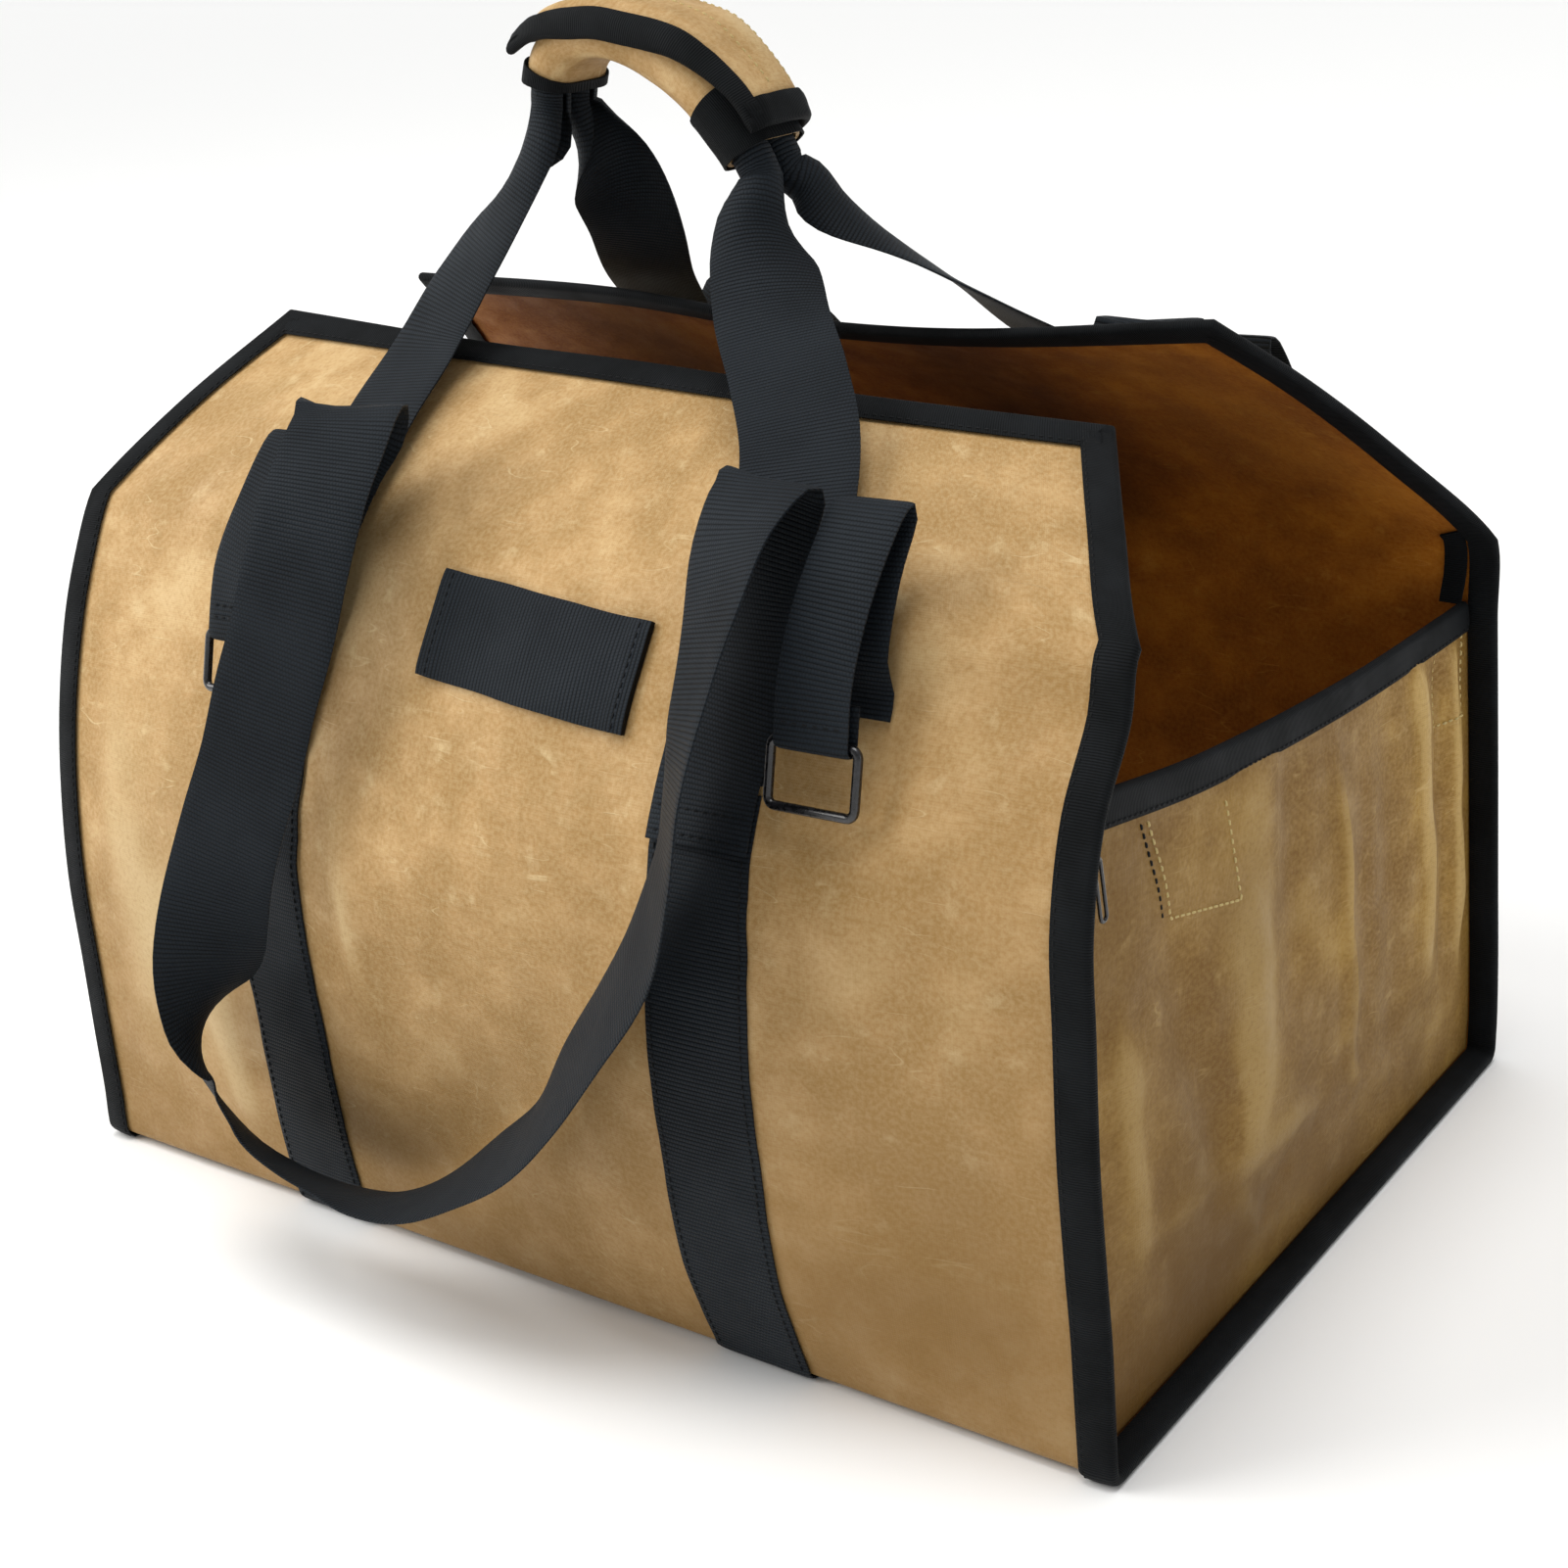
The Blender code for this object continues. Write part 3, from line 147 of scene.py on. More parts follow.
# Top edge of each end, from front to back: share of half the depth, share of the height.
END_TOP = (
    (-1.00, 0.712),
    (-0.81, 0.695),
    (-0.38, 0.660),
    (0.28, 0.628),
    (0.83, 0.617),
    (1.00, 0.616),
)

# Height, as a share of the body height, up to which webbing lies on the panel above its seam.
LYING_TOP = 0.772

# Free webbing follows tables of chosen points. across is a share of half the strap spacing,
# forward a share of half the depth, height a share of the body height. turn is the angle in
# degrees of the webbing's width from X, and roll how far it is rolled into a tube.
HANDLE_LEFT_FRONT = (
    # across forward height  turn   roll
    (-0.950, 0.705, 0.858, -5.0, 0.00),
    (-0.930, 0.520, 0.945, -9.0, 0.00),
    (-0.930, 0.330, 1.015, -12.0, 0.00),
    (-0.850, 0.235, 1.085, -18.0, 0.05),
    (-0.745, 0.165, 1.150, -28.0, 0.15),
    (-0.660, 0.110, 1.200, -48.0, 0.40),
    (-0.612, 0.075, 1.232, -70.0, 0.75),
)
HANDLE_RIGHT_FRONT = (
    (0.330, 0.075, 1.168, -105.0, 0.75),
    (0.350, 0.110, 1.135, -120.0, 0.45),
    (0.420, 0.165, 1.100, -136.0, 0.18),
    (0.540, 0.260, 1.055, -150.0, 0.05),
    (0.735, 0.390, 1.010, -158.0, 0.00),
    (0.930, 0.540, 0.955, -160.0, 0.00),
    (1.080, 0.745, 0.880, -171.0, 0.00),
    (1.055, 0.832, 0.828, -179.0, 0.00),
)
HANDLE_LEFT_BACK = (
    (-0.970, 0.700, 0.880, 0.0, 0.00),
    (-0.880, 0.530, 0.970, -2.0, 0.00),
    (-0.730, 0.340, 1.040, -8.0, 0.00),
    (-0.630, 0.235, 1.100, -18.0, 0.06),
    (-0.585, 0.165, 1.150, -34.0, 0.20),
    (-0.575, 0.110, 1.195, -56.0, 0.45),
    (-0.585, 0.075, 1.230, -76.0, 0.78),
)
HANDLE_RIGHT_BACK = (
    (0.360, 0.080, 1.175, -100.0, 0.72),
    (0.420, 0.115, 1.145, -108.0, 0.40),
    (0.510, 0.155, 1.115, -118.0, 0.18),
    (0.620, 0.195, 1.085, -128.0, 0.06),
    (0.740, 0.245, 1.052, -136.0, 0.00),
    (0.850, 0.310, 1.018, -146.0, 0.00),
    (0.930, 0.430, 0.975, -160.0, 0.00),
    (0.985, 0.600, 0.930, -170.0, 0.00),
    (1.000, 0.740, 0.865, -176.0, 0.00),
)
# Middle line of the grip, left to right.
GRIP_ARCH = (
    # across height
    (-0.605, 1.262),
    (-0.590, 1.290),
    (-0.550, 1.318),
    (-0.470, 1.338),
    (-0.370, 1.346),
    (-0.260, 1.342),
    (-0.150, 1.330),
    (-0.050, 1.313),
    (0.050, 1.290),
    (0.135, 1.265),
    (0.210, 1.238),
    (0.270, 1.212),
    (0.310, 1.185),
)
# Top line of the flap over the grip, left to right, in the same two columns, and how far its
# front half wraps round there.
GRIP_FLAP = (
    # across height wrap
    (-0.690, 1.3380, 0.50),
    (-0.620, 1.3530, 0.62),
    (-0.530, 1.3680, 0.80),
    (-0.400, 1.3785, 0.97),
    (-0.260, 1.3800, 1.00),
    (-0.130, 1.3725, 1.00),
    (0.000, 1.3605, 0.95),
    (0.110, 1.3435, 0.85),
    (0.210, 1.3145, 0.68),
    (0.300, 1.2795, 0.52),
    (0.360, 1.2455, 0.45),
)
# The flap across: the angles round the sleeve of its front edge and its back edge, and the
# angle within which it lies flat over both rolled handles.
FLAP_ENDS = (-84.0, 78.0)
FLAP_FLAT = 18.0

# The long loop, from its sewn left end over the left fold, down, round the bottom and up to
# the right fold. tip leans the webbing over, its rear edge lower, in degrees.
LOOP_FREE = (
    # across forward height  turn   tip
    (-0.930, 0.780, 0.845, 6.0, 0.0),
    (-0.860, 0.715, 0.920, 14.0, 0.0),
    (-0.790, 0.695, 0.962, 18.0, 0.0),
    (-0.720, 0.730, 0.984, 20.0, 0.0),
    (-0.675, 0.785, 0.978, 22.0, 0.0),
    (-0.650, 0.860, 0.945, 22.0, 0.0),
    (-0.635, 0.935, 0.905, 22.0, 0.0),
    (-0.647, 1.015, 0.831, 21.0, 0.0),
    (-0.677, 1.060, 0.770, 20.0, 0.0),
    (-0.732, 1.100, 0.707, 19.0, 0.0),
    (-0.793, 1.140, 0.631, 18.0, 0.0),
    (-0.872, 1.175, 0.563, 18.0, 0.0),
    (-0.952, 1.200, 0.491, 20.0, 3.0),
    (-1.035, 1.215, 0.410, 32.0, 14.0),
    (-1.095, 1.220, 0.350, 62.0, 15.0),
    (-1.145, 1.224, 0.312, 96.0, 10.0),
    (-1.175, 1.225, 0.280, 110.0, 22.0),
    (-1.182, 1.225, 0.242, 116.0, 36.0),
    (-1.112, 1.225, 0.200, 118.0, 33.0),
    (-0.960, 1.225, 0.160, 116.0, 34.0),
    (-0.721, 1.225, 0.139, 112.0, 33.0),
    (-0.470, 1.225, 0.137, 106.0, 27.0),
    (-0.301, 1.225, 0.147, 102.0, 16.0),
    (-0.090, 1.225, 0.175, 100.0, 0.0),
    (0.123, 1.225, 0.220, 98.0, -12.0),
    (0.370, 1.225, 0.281, 100.0, -19.0),
    (0.585, 1.225, 0.366, 102.0, -28.0),
    (0.780, 1.220, 0.450, 106.0, -27.0),
    (0.955, 1.210, 0.536, 114.0, -23.0),
    (1.055, 1.195, 0.625, 126.0, -7.0),
    (1.065, 1.155, 0.695, 133.0, 0.0),
    (1.072, 1.115, 0.750, 138.0, 1.0),
    (1.075, 1.060, 0.800, 142.0, 2.0),
    (1.075, 0.985, 0.862, 149.0, 2.0),
    (1.062, 0.900, 0.915, 156.0, 1.0),
    (1.075, 0.835, 0.947, 162.0, 0.0),
    (1.085, 0.780, 0.957, 165.0, 0.0),
    (1.075, 0.755, 0.938, 172.0, 0.0),
    (1.035, 0.825, 0.860, 179.0, 0.0),
)
# The back panel's top stands elsewhere than the front's, and the loop and the ring straps with
# it: by these shares of half the depth at the left and the right strap, from the higher of two
# heights up, and not at all under the lower one.
BACK_STAND = (0.055, -0.030)
BACK_STAND_HEIGHTS = (0.50, 0.72)
# How far webbing has come away from the panel at the lying top, in metres.
LOOP_LOOSENESS = 0.0020
RING_LOOSENESS = (0.0045, 0.0015)
# Ring straps from the sewn end up, over the fold and down to the ring.
RING_STRAP_RIGHT = (
    # across forward height
    (1.450, 0.895, 0.810),
    (1.450, 0.835, 0.880),
    (1.450, 0.765, 0.930),
    (1.450, 0.770, 0.945),
    (1.450, 0.815, 0.935),
    (1.440, 0.925, 0.870),
    (1.420, 0.985, 0.800),
    (1.420, 1.015, 0.742),
)
RING_STRAP_LEFT = (
    (-1.010, 0.875, 0.790),
    (-0.980, 0.815, 0.850),
    (-0.930, 0.775, 0.910),
    (-0.905, 0.765, 0.940),
    (-0.900, 0.785, 0.958),
    (-0.905, 0.825, 0.943),
    (-0.950, 0.890, 0.890),
    (-1.020, 0.945, 0.825),
    (-1.035, 0.972, 0.782),
    (-1.035, 0.992, 0.748),
)
# Webbing tab: its middle on the front and how far it leans clockwise.
TAB_ACROSS = 0.170
TAB_HEIGHT = 0.760
TAB_LEAN = 3.5

# How far in the body's tape is shown inside the sheet, up to the end panels.
TAPE_REACH = INNER_TAPE + 0.0012
# Where stitches run on a tape, as shares of its width from the edge.
BODY_SEAM = 0.86
END_SEAM = 0.84
# How far in from the sewn strap's edges its stitches run.
STRAP_SEAM = 0.003
# Stitch lines over a ring: how far above the strap's fold, and how far they reach to each side.
RING_SEAMS = (0.007, 0.0125)
RING_SEAM_REACH = 0.0145
# Places up the hem that is folded back behind the ring.
RING_HEM_STEPS = (STITCH_GAP, 0.007, 0.011, RING_HEM)

# Columns across straps and free webbing, how square their sections are, and how thick their
# edges and a tape's edges stay.
STRAP_COLUMNS = 14
RIBBON_COLUMNS = 16
STRAP_SQUARENESS = 12
STRAP_RIM = 0.16
TAPE_RIM = 0.4
# Columns and rows of the ends' meshes, more columns beside their edges, and lines of their tapes.
END_GRID = (72, 44)
END_RIMS = (0.004, 0.008, 0.992, 0.996)
END_TAPE_LINES = 70
# Steps round one half of a grip tube, and rows of the tab's mesh with the ones that are sewn.
HALF_ROUND = 14
TAB_ROWS = 44
TAB_SEAM_ROWS = (2, 41)

# Steps of the fine meshes, and how far soft and sewn things stand out, in metres.
FINE = 0.006
FLAT_STEP = 0.020
RIBBON_STEP = 0.007
SLEEVE_STEP = 0.0034
TAPE_PUFF = 0.0007
TAB_HEM = 0.0009
SLEEVE_WRINKLE = 0.0009
BAND_WRINKLE = 0.0003
THREAD = 0.00045
HEAVY_THREAD = 0.00062
STITCH_PITCH = 0.0042
STITCH_LENGTH = 0.0031
# A stitch from end to end: place along it, thickness and how far it stands proud, as shares of
# its half length and its thread.
STITCH_SHAPE = ((-1.0, 0.45, -0.9), (-0.55, 1.0, 0.1), (0.55, 1.0, 0.1), (1.0, 0.45, -0.9))
STITCH_SIDES = 5
# Rows and columns of the flap's mesh, the row and the column along which it is measured, how
# many of them its tape may reach over, and where its two seams run.
FLAP_GRID = (64, 34)
FLAP_MEASURED = (32, 12)
FLAP_REACH = 8
FLAP_SEAM_COLUMNS = (17, 22)
FLAP_SEAM_ROWS = range(8, 58)
# The slider from its lower end up: share of its half length, its width and its depth.
SLIDER_SHAPE = (
    (-1.00, 0.55, 0.60),
    (-0.94, 0.66, 0.72),
    (-0.50, 0.76, 0.80),
    (0.20, 0.92, 0.80),
    (0.75, 1.00, 0.80),
    (0.95, 0.94, 0.74),
    (1.00, 0.80, 0.60),
)
# How square the slider's sections are: 1 is an ellipse and 0 a rectangle.
SLIDER_ROUNDNESS = 0.4
# How far the bands of the grip run past the sleeve, in rows of its arch.
BAND_OVERHANG = 0.07
# The least turn across webbing, in radians, so that flat webbing has a radius too.
LEAST_CURL = 1e-3


def unit(vector):
    """Vectors of length one in the same directions."""
    return vector / np.linalg.norm(vector, axis=-1, keepdims=True)


def circle(count):
    """Even angles round a circle, in radians."""
    return np.radians(np.arange(0, 360, 360 / count))


def smooth(low, high, value):
    """0 under low, 1 over high and a smooth step between."""
    t = np.clip((np.asarray(value, float) - low) / (high - low), 0.0, 1.0)
    return t * t * (3 - 2 * t)


def ripples(across, along, size, seed):
    """Smooth seeded noise from -1 to 1 with bumps about size wide."""
    table = np.random.default_rng(seed).uniform(-1.0, 1.0, (64, 64))
    u = np.asarray(across, float) / size
    v = np.asarray(along, float) / size
    i = np.floor(u).astype(int)
    j = np.floor(v).astype(int)
    s = smooth(0.0, 1.0, u - i)
    t = smooth(0.0, 1.0, v - j)

    def at(a, b):
        return table[(i + a) % 64, (j + b) % 64]

    low = at(0, 0) * (1 - s) + at(1, 0) * s
    high = at(0, 1) * (1 - s) + at(1, 1) * s
    return low * (1 - t) + high * t


def blend(places, rows, at, level=False):
    """Read a smooth curve through rows at one place; level keeps flat stretches flat."""
    last = len(places) - 1
    k = int(np.clip(np.searchsorted(places, at, side="right") - 1, 0, last - 1))
    span = places[k + 1] - places[k]
    t = (at - places[k]) / span

    def slope(i):
        a = max(i - 1, 0)
        b = min(i + 1, last)
        middle = (rows[b] - rows[a]) / (places[b] - places[a])
        if not level or a == i or b == i:
            return middle
        before = rows[i] - rows[a]
        after = rows[b] - rows[i]
        return np.where(before * after > 0.0, middle, 0.0)

    start = (1 + 2 * t) * (1 - t) ** 2 * rows[k] + t * (1 - t) ** 2 * span * slope(k)
    end = t * t * (3 - 2 * t) * rows[k + 1] - t * t * (1 - t) * span * slope(k + 1)
    return start + end


def sheet_sections():
    """The sheet's sections at every station, from the front top edge round to the back one."""
    clips = []
    sections = []

    def add_level(row, side):
        clips.append(row[0])
        heights = row[6:] if len(row) > 7 else row[6:] * 5
        sections.append([(side * forward * HALF_DEPTH, height * BODY_HEIGHT)
                         for forward, height in zip(row[1:6], heights)])

    def add_flat(forward, height):
        clips.append(0.0)
        sections.append([(forward, height)] * len(STATIONS))

    def add_fold(side, angles):
        for angle in angles:
            turn = math.radians(angle)
            forward = HALF_DEPTH - FOLD_RADIUS * (1 - math.cos(turn))
            add_flat(side * forward, BASE_HEIGHT + FOLD_RADIUS * (1 - math.sin(turn)))

    for row in FRONT_LEVELS:
        add_level(row, FRONT)
    add_fold(FRONT, (0, 30, 60, 90))
    for share in (-0.90, 0.0, 0.90):
        add_flat(share * HALF_DEPTH, BASE_HEIGHT)
    add_fold(BACK, (90, 60, 30, 0))
    for row in BACK_LEVELS:
        add_level(row, BACK)
    return np.array(clips), np.array(sections)


CLIPS, SECTIONS = sheet_sections()
MIDDLE = SECTIONS[:, len(STATIONS) // 2]
LENGTHS = np.concatenate([[0.0], np.cumsum(np.linalg.norm(np.diff(MIDDLE, axis=0), axis=1))])
SHEET_LENGTH = LENGTHS[-1]
FOLDS = (len(FRONT_LEVELS), len(FRONT_LEVELS) + 3, len(FRONT_LEVELS) + 7, len(FRONT_LEVELS) + 10)


def half_width(length):
    """Half the sheet's width at lengths along it from the front top edge."""
    return HALF_WIDTH - CLIP_INSET * np.interp(length, LENGTHS, CLIPS)


def even_steps(stops, step):
    """Fill the stretches between stops with even steps no longer than step."""
    filled = [stops[0]]
    for start, end in zip(stops, stops[1:]):
        count = max(1, math.ceil((end - start) / step - 0.001))
        filled += [start + (end - start) * (i + 1) / count for i in range(count)]
    return filled


def sheet_rows():
    """Lengths along the sheet where its fine mesh has a row."""
    fold = [LENGTHS[i] for i in FOLDS]
    rows = even_steps([0.0, EDGE_TAPE, LENGTHS[2], fold[0]], FINE)
    rows += even_steps([fold[0], fold[1]], FOLD_RADIUS / 4)[1:]
    rows += even_steps([fold[1], fold[2]], FLAT_STEP)[1:]
    rows += even_steps([fold[2], fold[3]], FOLD_RADIUS / 4)[1:]
    stops = [fold[3], LENGTHS[-4], SHEET_LENGTH - EDGE_TAPE, SHEET_LENGTH]
    rows += even_steps(stops, FINE)[1:]
    return np.array(rows)


def sheet_columns():
    """Shares across the sheet where its fine mesh has a column."""
    stops = [0.0, HALF_STRAPS - WEB_WIDTH / 2, HALF_STRAPS + WEB_WIDTH / 2]
    stops += [HALF_WIDTH - EDGE_TAPE, HALF_WIDTH]
    right = [place / HALF_WIDTH for place in even_steps(stops, FINE)]
    return np.array([-share for share in reversed(right[1:])] + right)


ROWS = sheet_rows()
COLUMNS = sheet_columns()


def grid_normals(grid):
    """Normals of a grid of points, along its rows crossed with across its columns."""
    return unit(np.cross(np.gradient(grid, axis=0), np.gradient(grid, axis=1)))


# Soft folds in the front and back panels: from x and height to x and height, which panel, half
# the width of the fold and how far it stands out.
CREASES = (
    (-0.085, 0.235, -0.070, 0.130, FRONT, 0.008, 0.0020),
    (0.030, 0.215, 0.052, 0.110, FRONT, 0.009, -0.0018),
    (-0.200, 0.150, -0.175, 0.040, FRONT, 0.010, 0.0018),
    (0.215, 0.170, 0.245, 0.245, FRONT, 0.010, -0.0026),
    (0.170, 0.095, 0.262, 0.070, FRONT, 0.012, 0.0020),
    (-0.030, 0.060, 0.060, 0.085, FRONT, 0.011, 0.0016),
    (0.205, 0.330, 0.250, 0.290, FRONT, 0.009, 0.0016),
    (-0.040, 0.205, 0.035, 0.090, BACK, 0.010, 0.0020),
    (0.205, 0.220, 0.232, 0.100, BACK, 0.010, -0.0022),
    (-0.225, 0.200, -0.205, 0.080, BACK, 0.010, 0.0020),
)
# Swells of the same panels: how far they stand out, how wide they are, how far they slant and
# the seed of their noise.
SHEET_SWELLS = ((0.0022, 0.120, 0.0, 11), (0.0011, 0.055, 0.0, 12), (0.0004, 0.022, 0.3, 13))
# The sheet puckers beside the sewn straps: how far, and how far apart.
PUCKER = 0.0006
PUCKER_PITCH = 0.013


def on_fold(px, pz, dx, dz):
    """Share along a fold, and the way off it, of places set off from where the fold starts."""
    size = math.hypot(dx, dz)
    return (px * dx + pz * dz) / size ** 2, (px * dz - pz * dx) / size


def ridges(swell, whole):
    """How much of a crest each point is: 0 in hollows, 1 on swells of half of whole."""
    return 0.5 + np.clip(swell / whole, -0.5, 0.5)


def sheet_swell(flat):
    """How far the canvas stands out from its plain shape at every grid point."""
    across = COLUMNS[None, :] * half_width(ROWS)[:, None]
    along = np.broadcast_to(ROWS[:, None], across.shape)
    height = flat[..., 2]
    swell = sum(out * ripples(across + slant * along, along, wide, seed)
                for out, wide, slant, seed in SHEET_SWELLS)
    for x0, z0, x1, z1, side, reach, depth in CREASES:
        here = (along < SHEET_LENGTH / 2) == (side == FRONT)
        t, off = on_fold(across - x0, height - z0, x1 - x0, z1 - z0)
        bend = reach * (1 + 0.5 * ripples(t * 3.0, 0.0, 1.0, 17))
        shape = np.exp(-(off / bend) ** 2) * smooth(-0.25, 0.15, t) * smooth(1.25, 0.85, t)
        swell += np.where(here, depth * shape, 0.0)
    beside = np.abs(np.abs(across) - HALF_STRAPS) - WEB_WIDTH / 2
    sewn = smooth(SEWN_HEIGHT + 0.02, SEWN_HEIGHT - 0.03, height)
    pucker = PUCKER * ripples(along, 0.0, PUCKER_PITCH, 14) * np.exp(-np.abs(beside) / 0.012)
    swell = swell * (1 - 0.75 * sewn * smooth(0.030, 0.0, beside)) + pucker * sewn
    side_edge = HALF_WIDTH - np.abs(across)
    top_edge = np.minimum(along, SHEET_LENGTH - along)
    slanted_edge = half_width(ROWS)[:, None] - np.abs(across)
    free = smooth(0.012, 0.060, height)
    for edge, soft in ((side_edge, 0.035), (top_edge, 0.030), (slanted_edge, 0.030)):
        free = free * smooth(EDGE_TAPE - 0.004, EDGE_TAPE + soft, edge)
    return swell * free


def sheet_grid():
    """The fine mesh of the body's sheet, and how far it stands out from its plain shape."""
    plain = []
    for row in ROWS:
        section = blend(LENGTHS, SECTIONS, row, level=True)
        reach = half_width(row)
        plain.append([(share * reach, *blend(STATIONS, section, share)) for share in COLUMNS])
    plain = np.array(plain)
    swell = sheet_swell(plain)
    grid = plain + grid_normals(plain) * swell[..., None]
    return grid, swell


GRID, SWELL = sheet_grid()
GRID_NORMALS = grid_normals(GRID)


def cell(places, at):
    """Index of the cell that holds a place, and how far along it the place is."""
    k = int(np.clip(np.searchsorted(places, at, side="right") - 1, 0, len(places) - 2))
    return k, (at - places[k]) / (places[k + 1] - places[k])


def facet(share, length):
    """Point and outward normal on the sheet."""
    r, v = cell(ROWS, length)
    c, u = cell(COLUMNS, share)
    results = []
    for grid in (GRID, GRID_NORMALS):
        low = grid[r, c] * (1 - u) + grid[r, c + 1] * u
        high = grid[r + 1, c] * (1 - u) + grid[r + 1, c + 1] * u
        results.append(low * (1 - v) + high * v)
    return results


def length_at(side, share, height):
    """Length along the sheet where the front or back panel reaches a height."""
    here = (ROWS < SHEET_LENGTH / 2) == (side == FRONT)
    c, u = cell(COLUMNS, share)
    heights = (GRID[here, c] * (1 - u) + GRID[here, c + 1] * u)[:, 2]
    if side == FRONT:
        return float(np.interp(-height, -heights, ROWS[here]))
    return float(np.interp(height, heights, ROWS[here]))


# Materials

# Sizes of the patterns in the materials, in millimetres on the cloth itself.
MM = 1000.0
# Canvas threads lie about 0.7 apart, drawn coarser so that the weave shows.
WEAVE_PITCH = 1.1
# Ribs across the webbing, and the warp threads that break them.
RIB_PITCH = 2.0
WARP_PITCH = 1.5
# The tape's ribs lie about 0.6 apart, drawn coarser so that they show.
TAPE_PITCH = 1.1
# Plies of the thread along its slant.
PLY_PITCH = 0.45
# Scratches on the wax: how long and how far apart, how strong, and the turn and the place in
# the noise of each way that they run.
SCUFF_LENGTH = 70.0
SCUFF_SPACING = 13.0
SCUFF_STRENGTH = 0.44
SCUFF_WAYS = ((0.45, 0.0), (1.95, 40.0), (2.75, 90.0))
# The noises of each finish: how wide their bumps are, their detail and their roughness. Wax has
# broad shades, patches, clouds and grain, and scratches only where it is worn.
WAX_NOISES = ((95.0, 2.0, 0.55), (26.0, 4.0, 0.60), (17.0, 5.0, 0.62), (2.2, 2.0, 0.60))
SCUFF_WEAR = 30.0
# Webbing and tape have worn places and lint, whose fibres are finer and are drawn as specks of
# about a millimetre so that they show. Paint has dust.
WEBBING_NOISES = ((60.0, 3.0, 0.55), (1.1, 2.0, 0.70))
TAPE_NOISES = ((38.0, 3.0, 0.55), (0.9, 2.0, 0.70))
PAINT_NOISES = ((3.0, 3.0, 0.55),)
# How values between two limits are eased.
SOFT = "SMOOTHSTEP"


def linear(code):
    """Linear colour of a six-figure screen colour."""
    parts = [int(code[i:i + 2], 16) / 255 for i in (0, 2, 4)]
    return (*[p / 12.92 if p <= 0.04045 else ((p + 0.055) / 1.055) ** 2.4 for p in parts], 1.0)


def plug(tree, item, values):
    """Give a node's inputs their numbers, or the outputs that they take."""
    for key, value in values.items():
        if isinstance(value, bpy.types.NodeSocket):
            tree.links.new(value, item.inputs[key])
        else:
            item.inputs[key].default_value = value


def add(tree, kind, values=(), output=0, **settings):
    """Add a shader node with its settings and links, and return one of its outputs.

    values holds each input's number or the output that it takes, in order or by name.
    """
    item = tree.nodes.new("ShaderNode" + kind)
    for key, value in settings.items():
        setattr(item, key, value)
    plug(tree, item, values if isinstance(values, dict) else dict(enumerate(values)))
    return item.outputs[output]


def laid_over(tree, base, mask, low, high, amount, code):
    """A base colour with another over it, by amount where a mask has gone from low to high."""
    share = add(tree, "MapRange", (mask, low, high, 0.0, amount), interpolation_type=SOFT)
    return add(tree, "Mix", {0: share, 6: base, 7: linear(code)}, 2, data_type="RGBA")


def weighed(tree, *parts):
    """The sum of patterns, each times its weight."""
    whole = 0.0
    for pattern, weight in parts:
        whole = add(tree, "Math", (pattern, weight, whole), operation="MULTIPLY_ADD")
    return whole


def start(name, noises=()):
    """A new material, its tree, its map's place in millimetres, whole and split, and its noises."""
    material = bpy.data.materials.new(name)
    material.use_nodes = True
    tree = material.node_tree
    flat = add(tree, "UVMap", uv_map="UVMap")
    place = add(tree, "VectorMath", {0: flat, 3: MM}, operation="SCALE")
    split = add(tree, "SeparateXYZ", (place,)).node.outputs
    made = [add(tree, "TexNoise", {"Vector": place, "Scale": 1 / size, "Detail": detail,
                                   "Roughness": rough}) for size, detail, rough in noises]
    return material, tree, place, split[0], split[1], made


def waves(tree, place, pitch, shift=0.0):
    """Rounded ridges of one pitch in millimetres, from 0 in the grooves to 1 on the crests."""
    turns = add(tree, "Math", (place, math.pi / pitch, shift), operation="MULTIPLY_ADD")
    swing = add(tree, "Math", (turns,), operation="SINE")
    return add(tree, "Math", (swing,), operation="ABSOLUTE")


def finish(material, height, depth, strength, values):
    """Give a material's shader its inputs, and a pattern's relief as deep as depth in metres."""
    tree = material.node_tree
    bump = add(tree, "Bump", {"Height": height, "Distance": depth, "Strength": strength})
    plug(tree, tree.nodes["Principled BSDF"], {**values, "Normal": bump})
    return material


def scuff_lines(tree, place):
    """Thin scratches, where a stretched noise crosses its middle value, kept only in patches."""
    scuff = 0.0
    for turn, shift in SCUFF_WAYS:
        turned = add(tree, "Mapping", {"Vector": place, "Location": (shift, shift * 1.7, shift),
                                       "Rotation": (0.0, 0.0, turn),
                                       "Scale": (1 / SCUFF_LENGTH, 1 / SCUFF_SPACING, 1.0)})
        field = add(tree, "TexNoise", {"Vector": turned, "Scale": 1.0, "Detail": 1.0})
        off = add(tree, "Math", (field, 0.5), operation="SUBTRACT")
        off = add(tree, "Math", (off,), operation="ABSOLUTE")
        thin = add(tree, "MapRange", (off, 0.0, 0.008, 1.0, 0.0), interpolation_type=SOFT)
        moved = add(tree, "Mapping", {"Vector": place, "Location": (shift * 3, -shift, 7.0)})
        worn = add(tree, "TexNoise", {"Vector": moved, "Scale": 1 / SCUFF_WEAR, "Detail": 2.0,
                                      "Roughness": 0.55})
        some = add(tree, "MapRange", (worn, 0.56, 0.72), interpolation_type=SOFT)
        line = add(tree, "Math", (thin, some), operation="MULTIPLY")
        scuff = add(tree, "Math", (scuff, line), operation="MAXIMUM")
    return add(tree, "Math", (scuff, SCUFF_STRENGTH), operation="MULTIPLY")


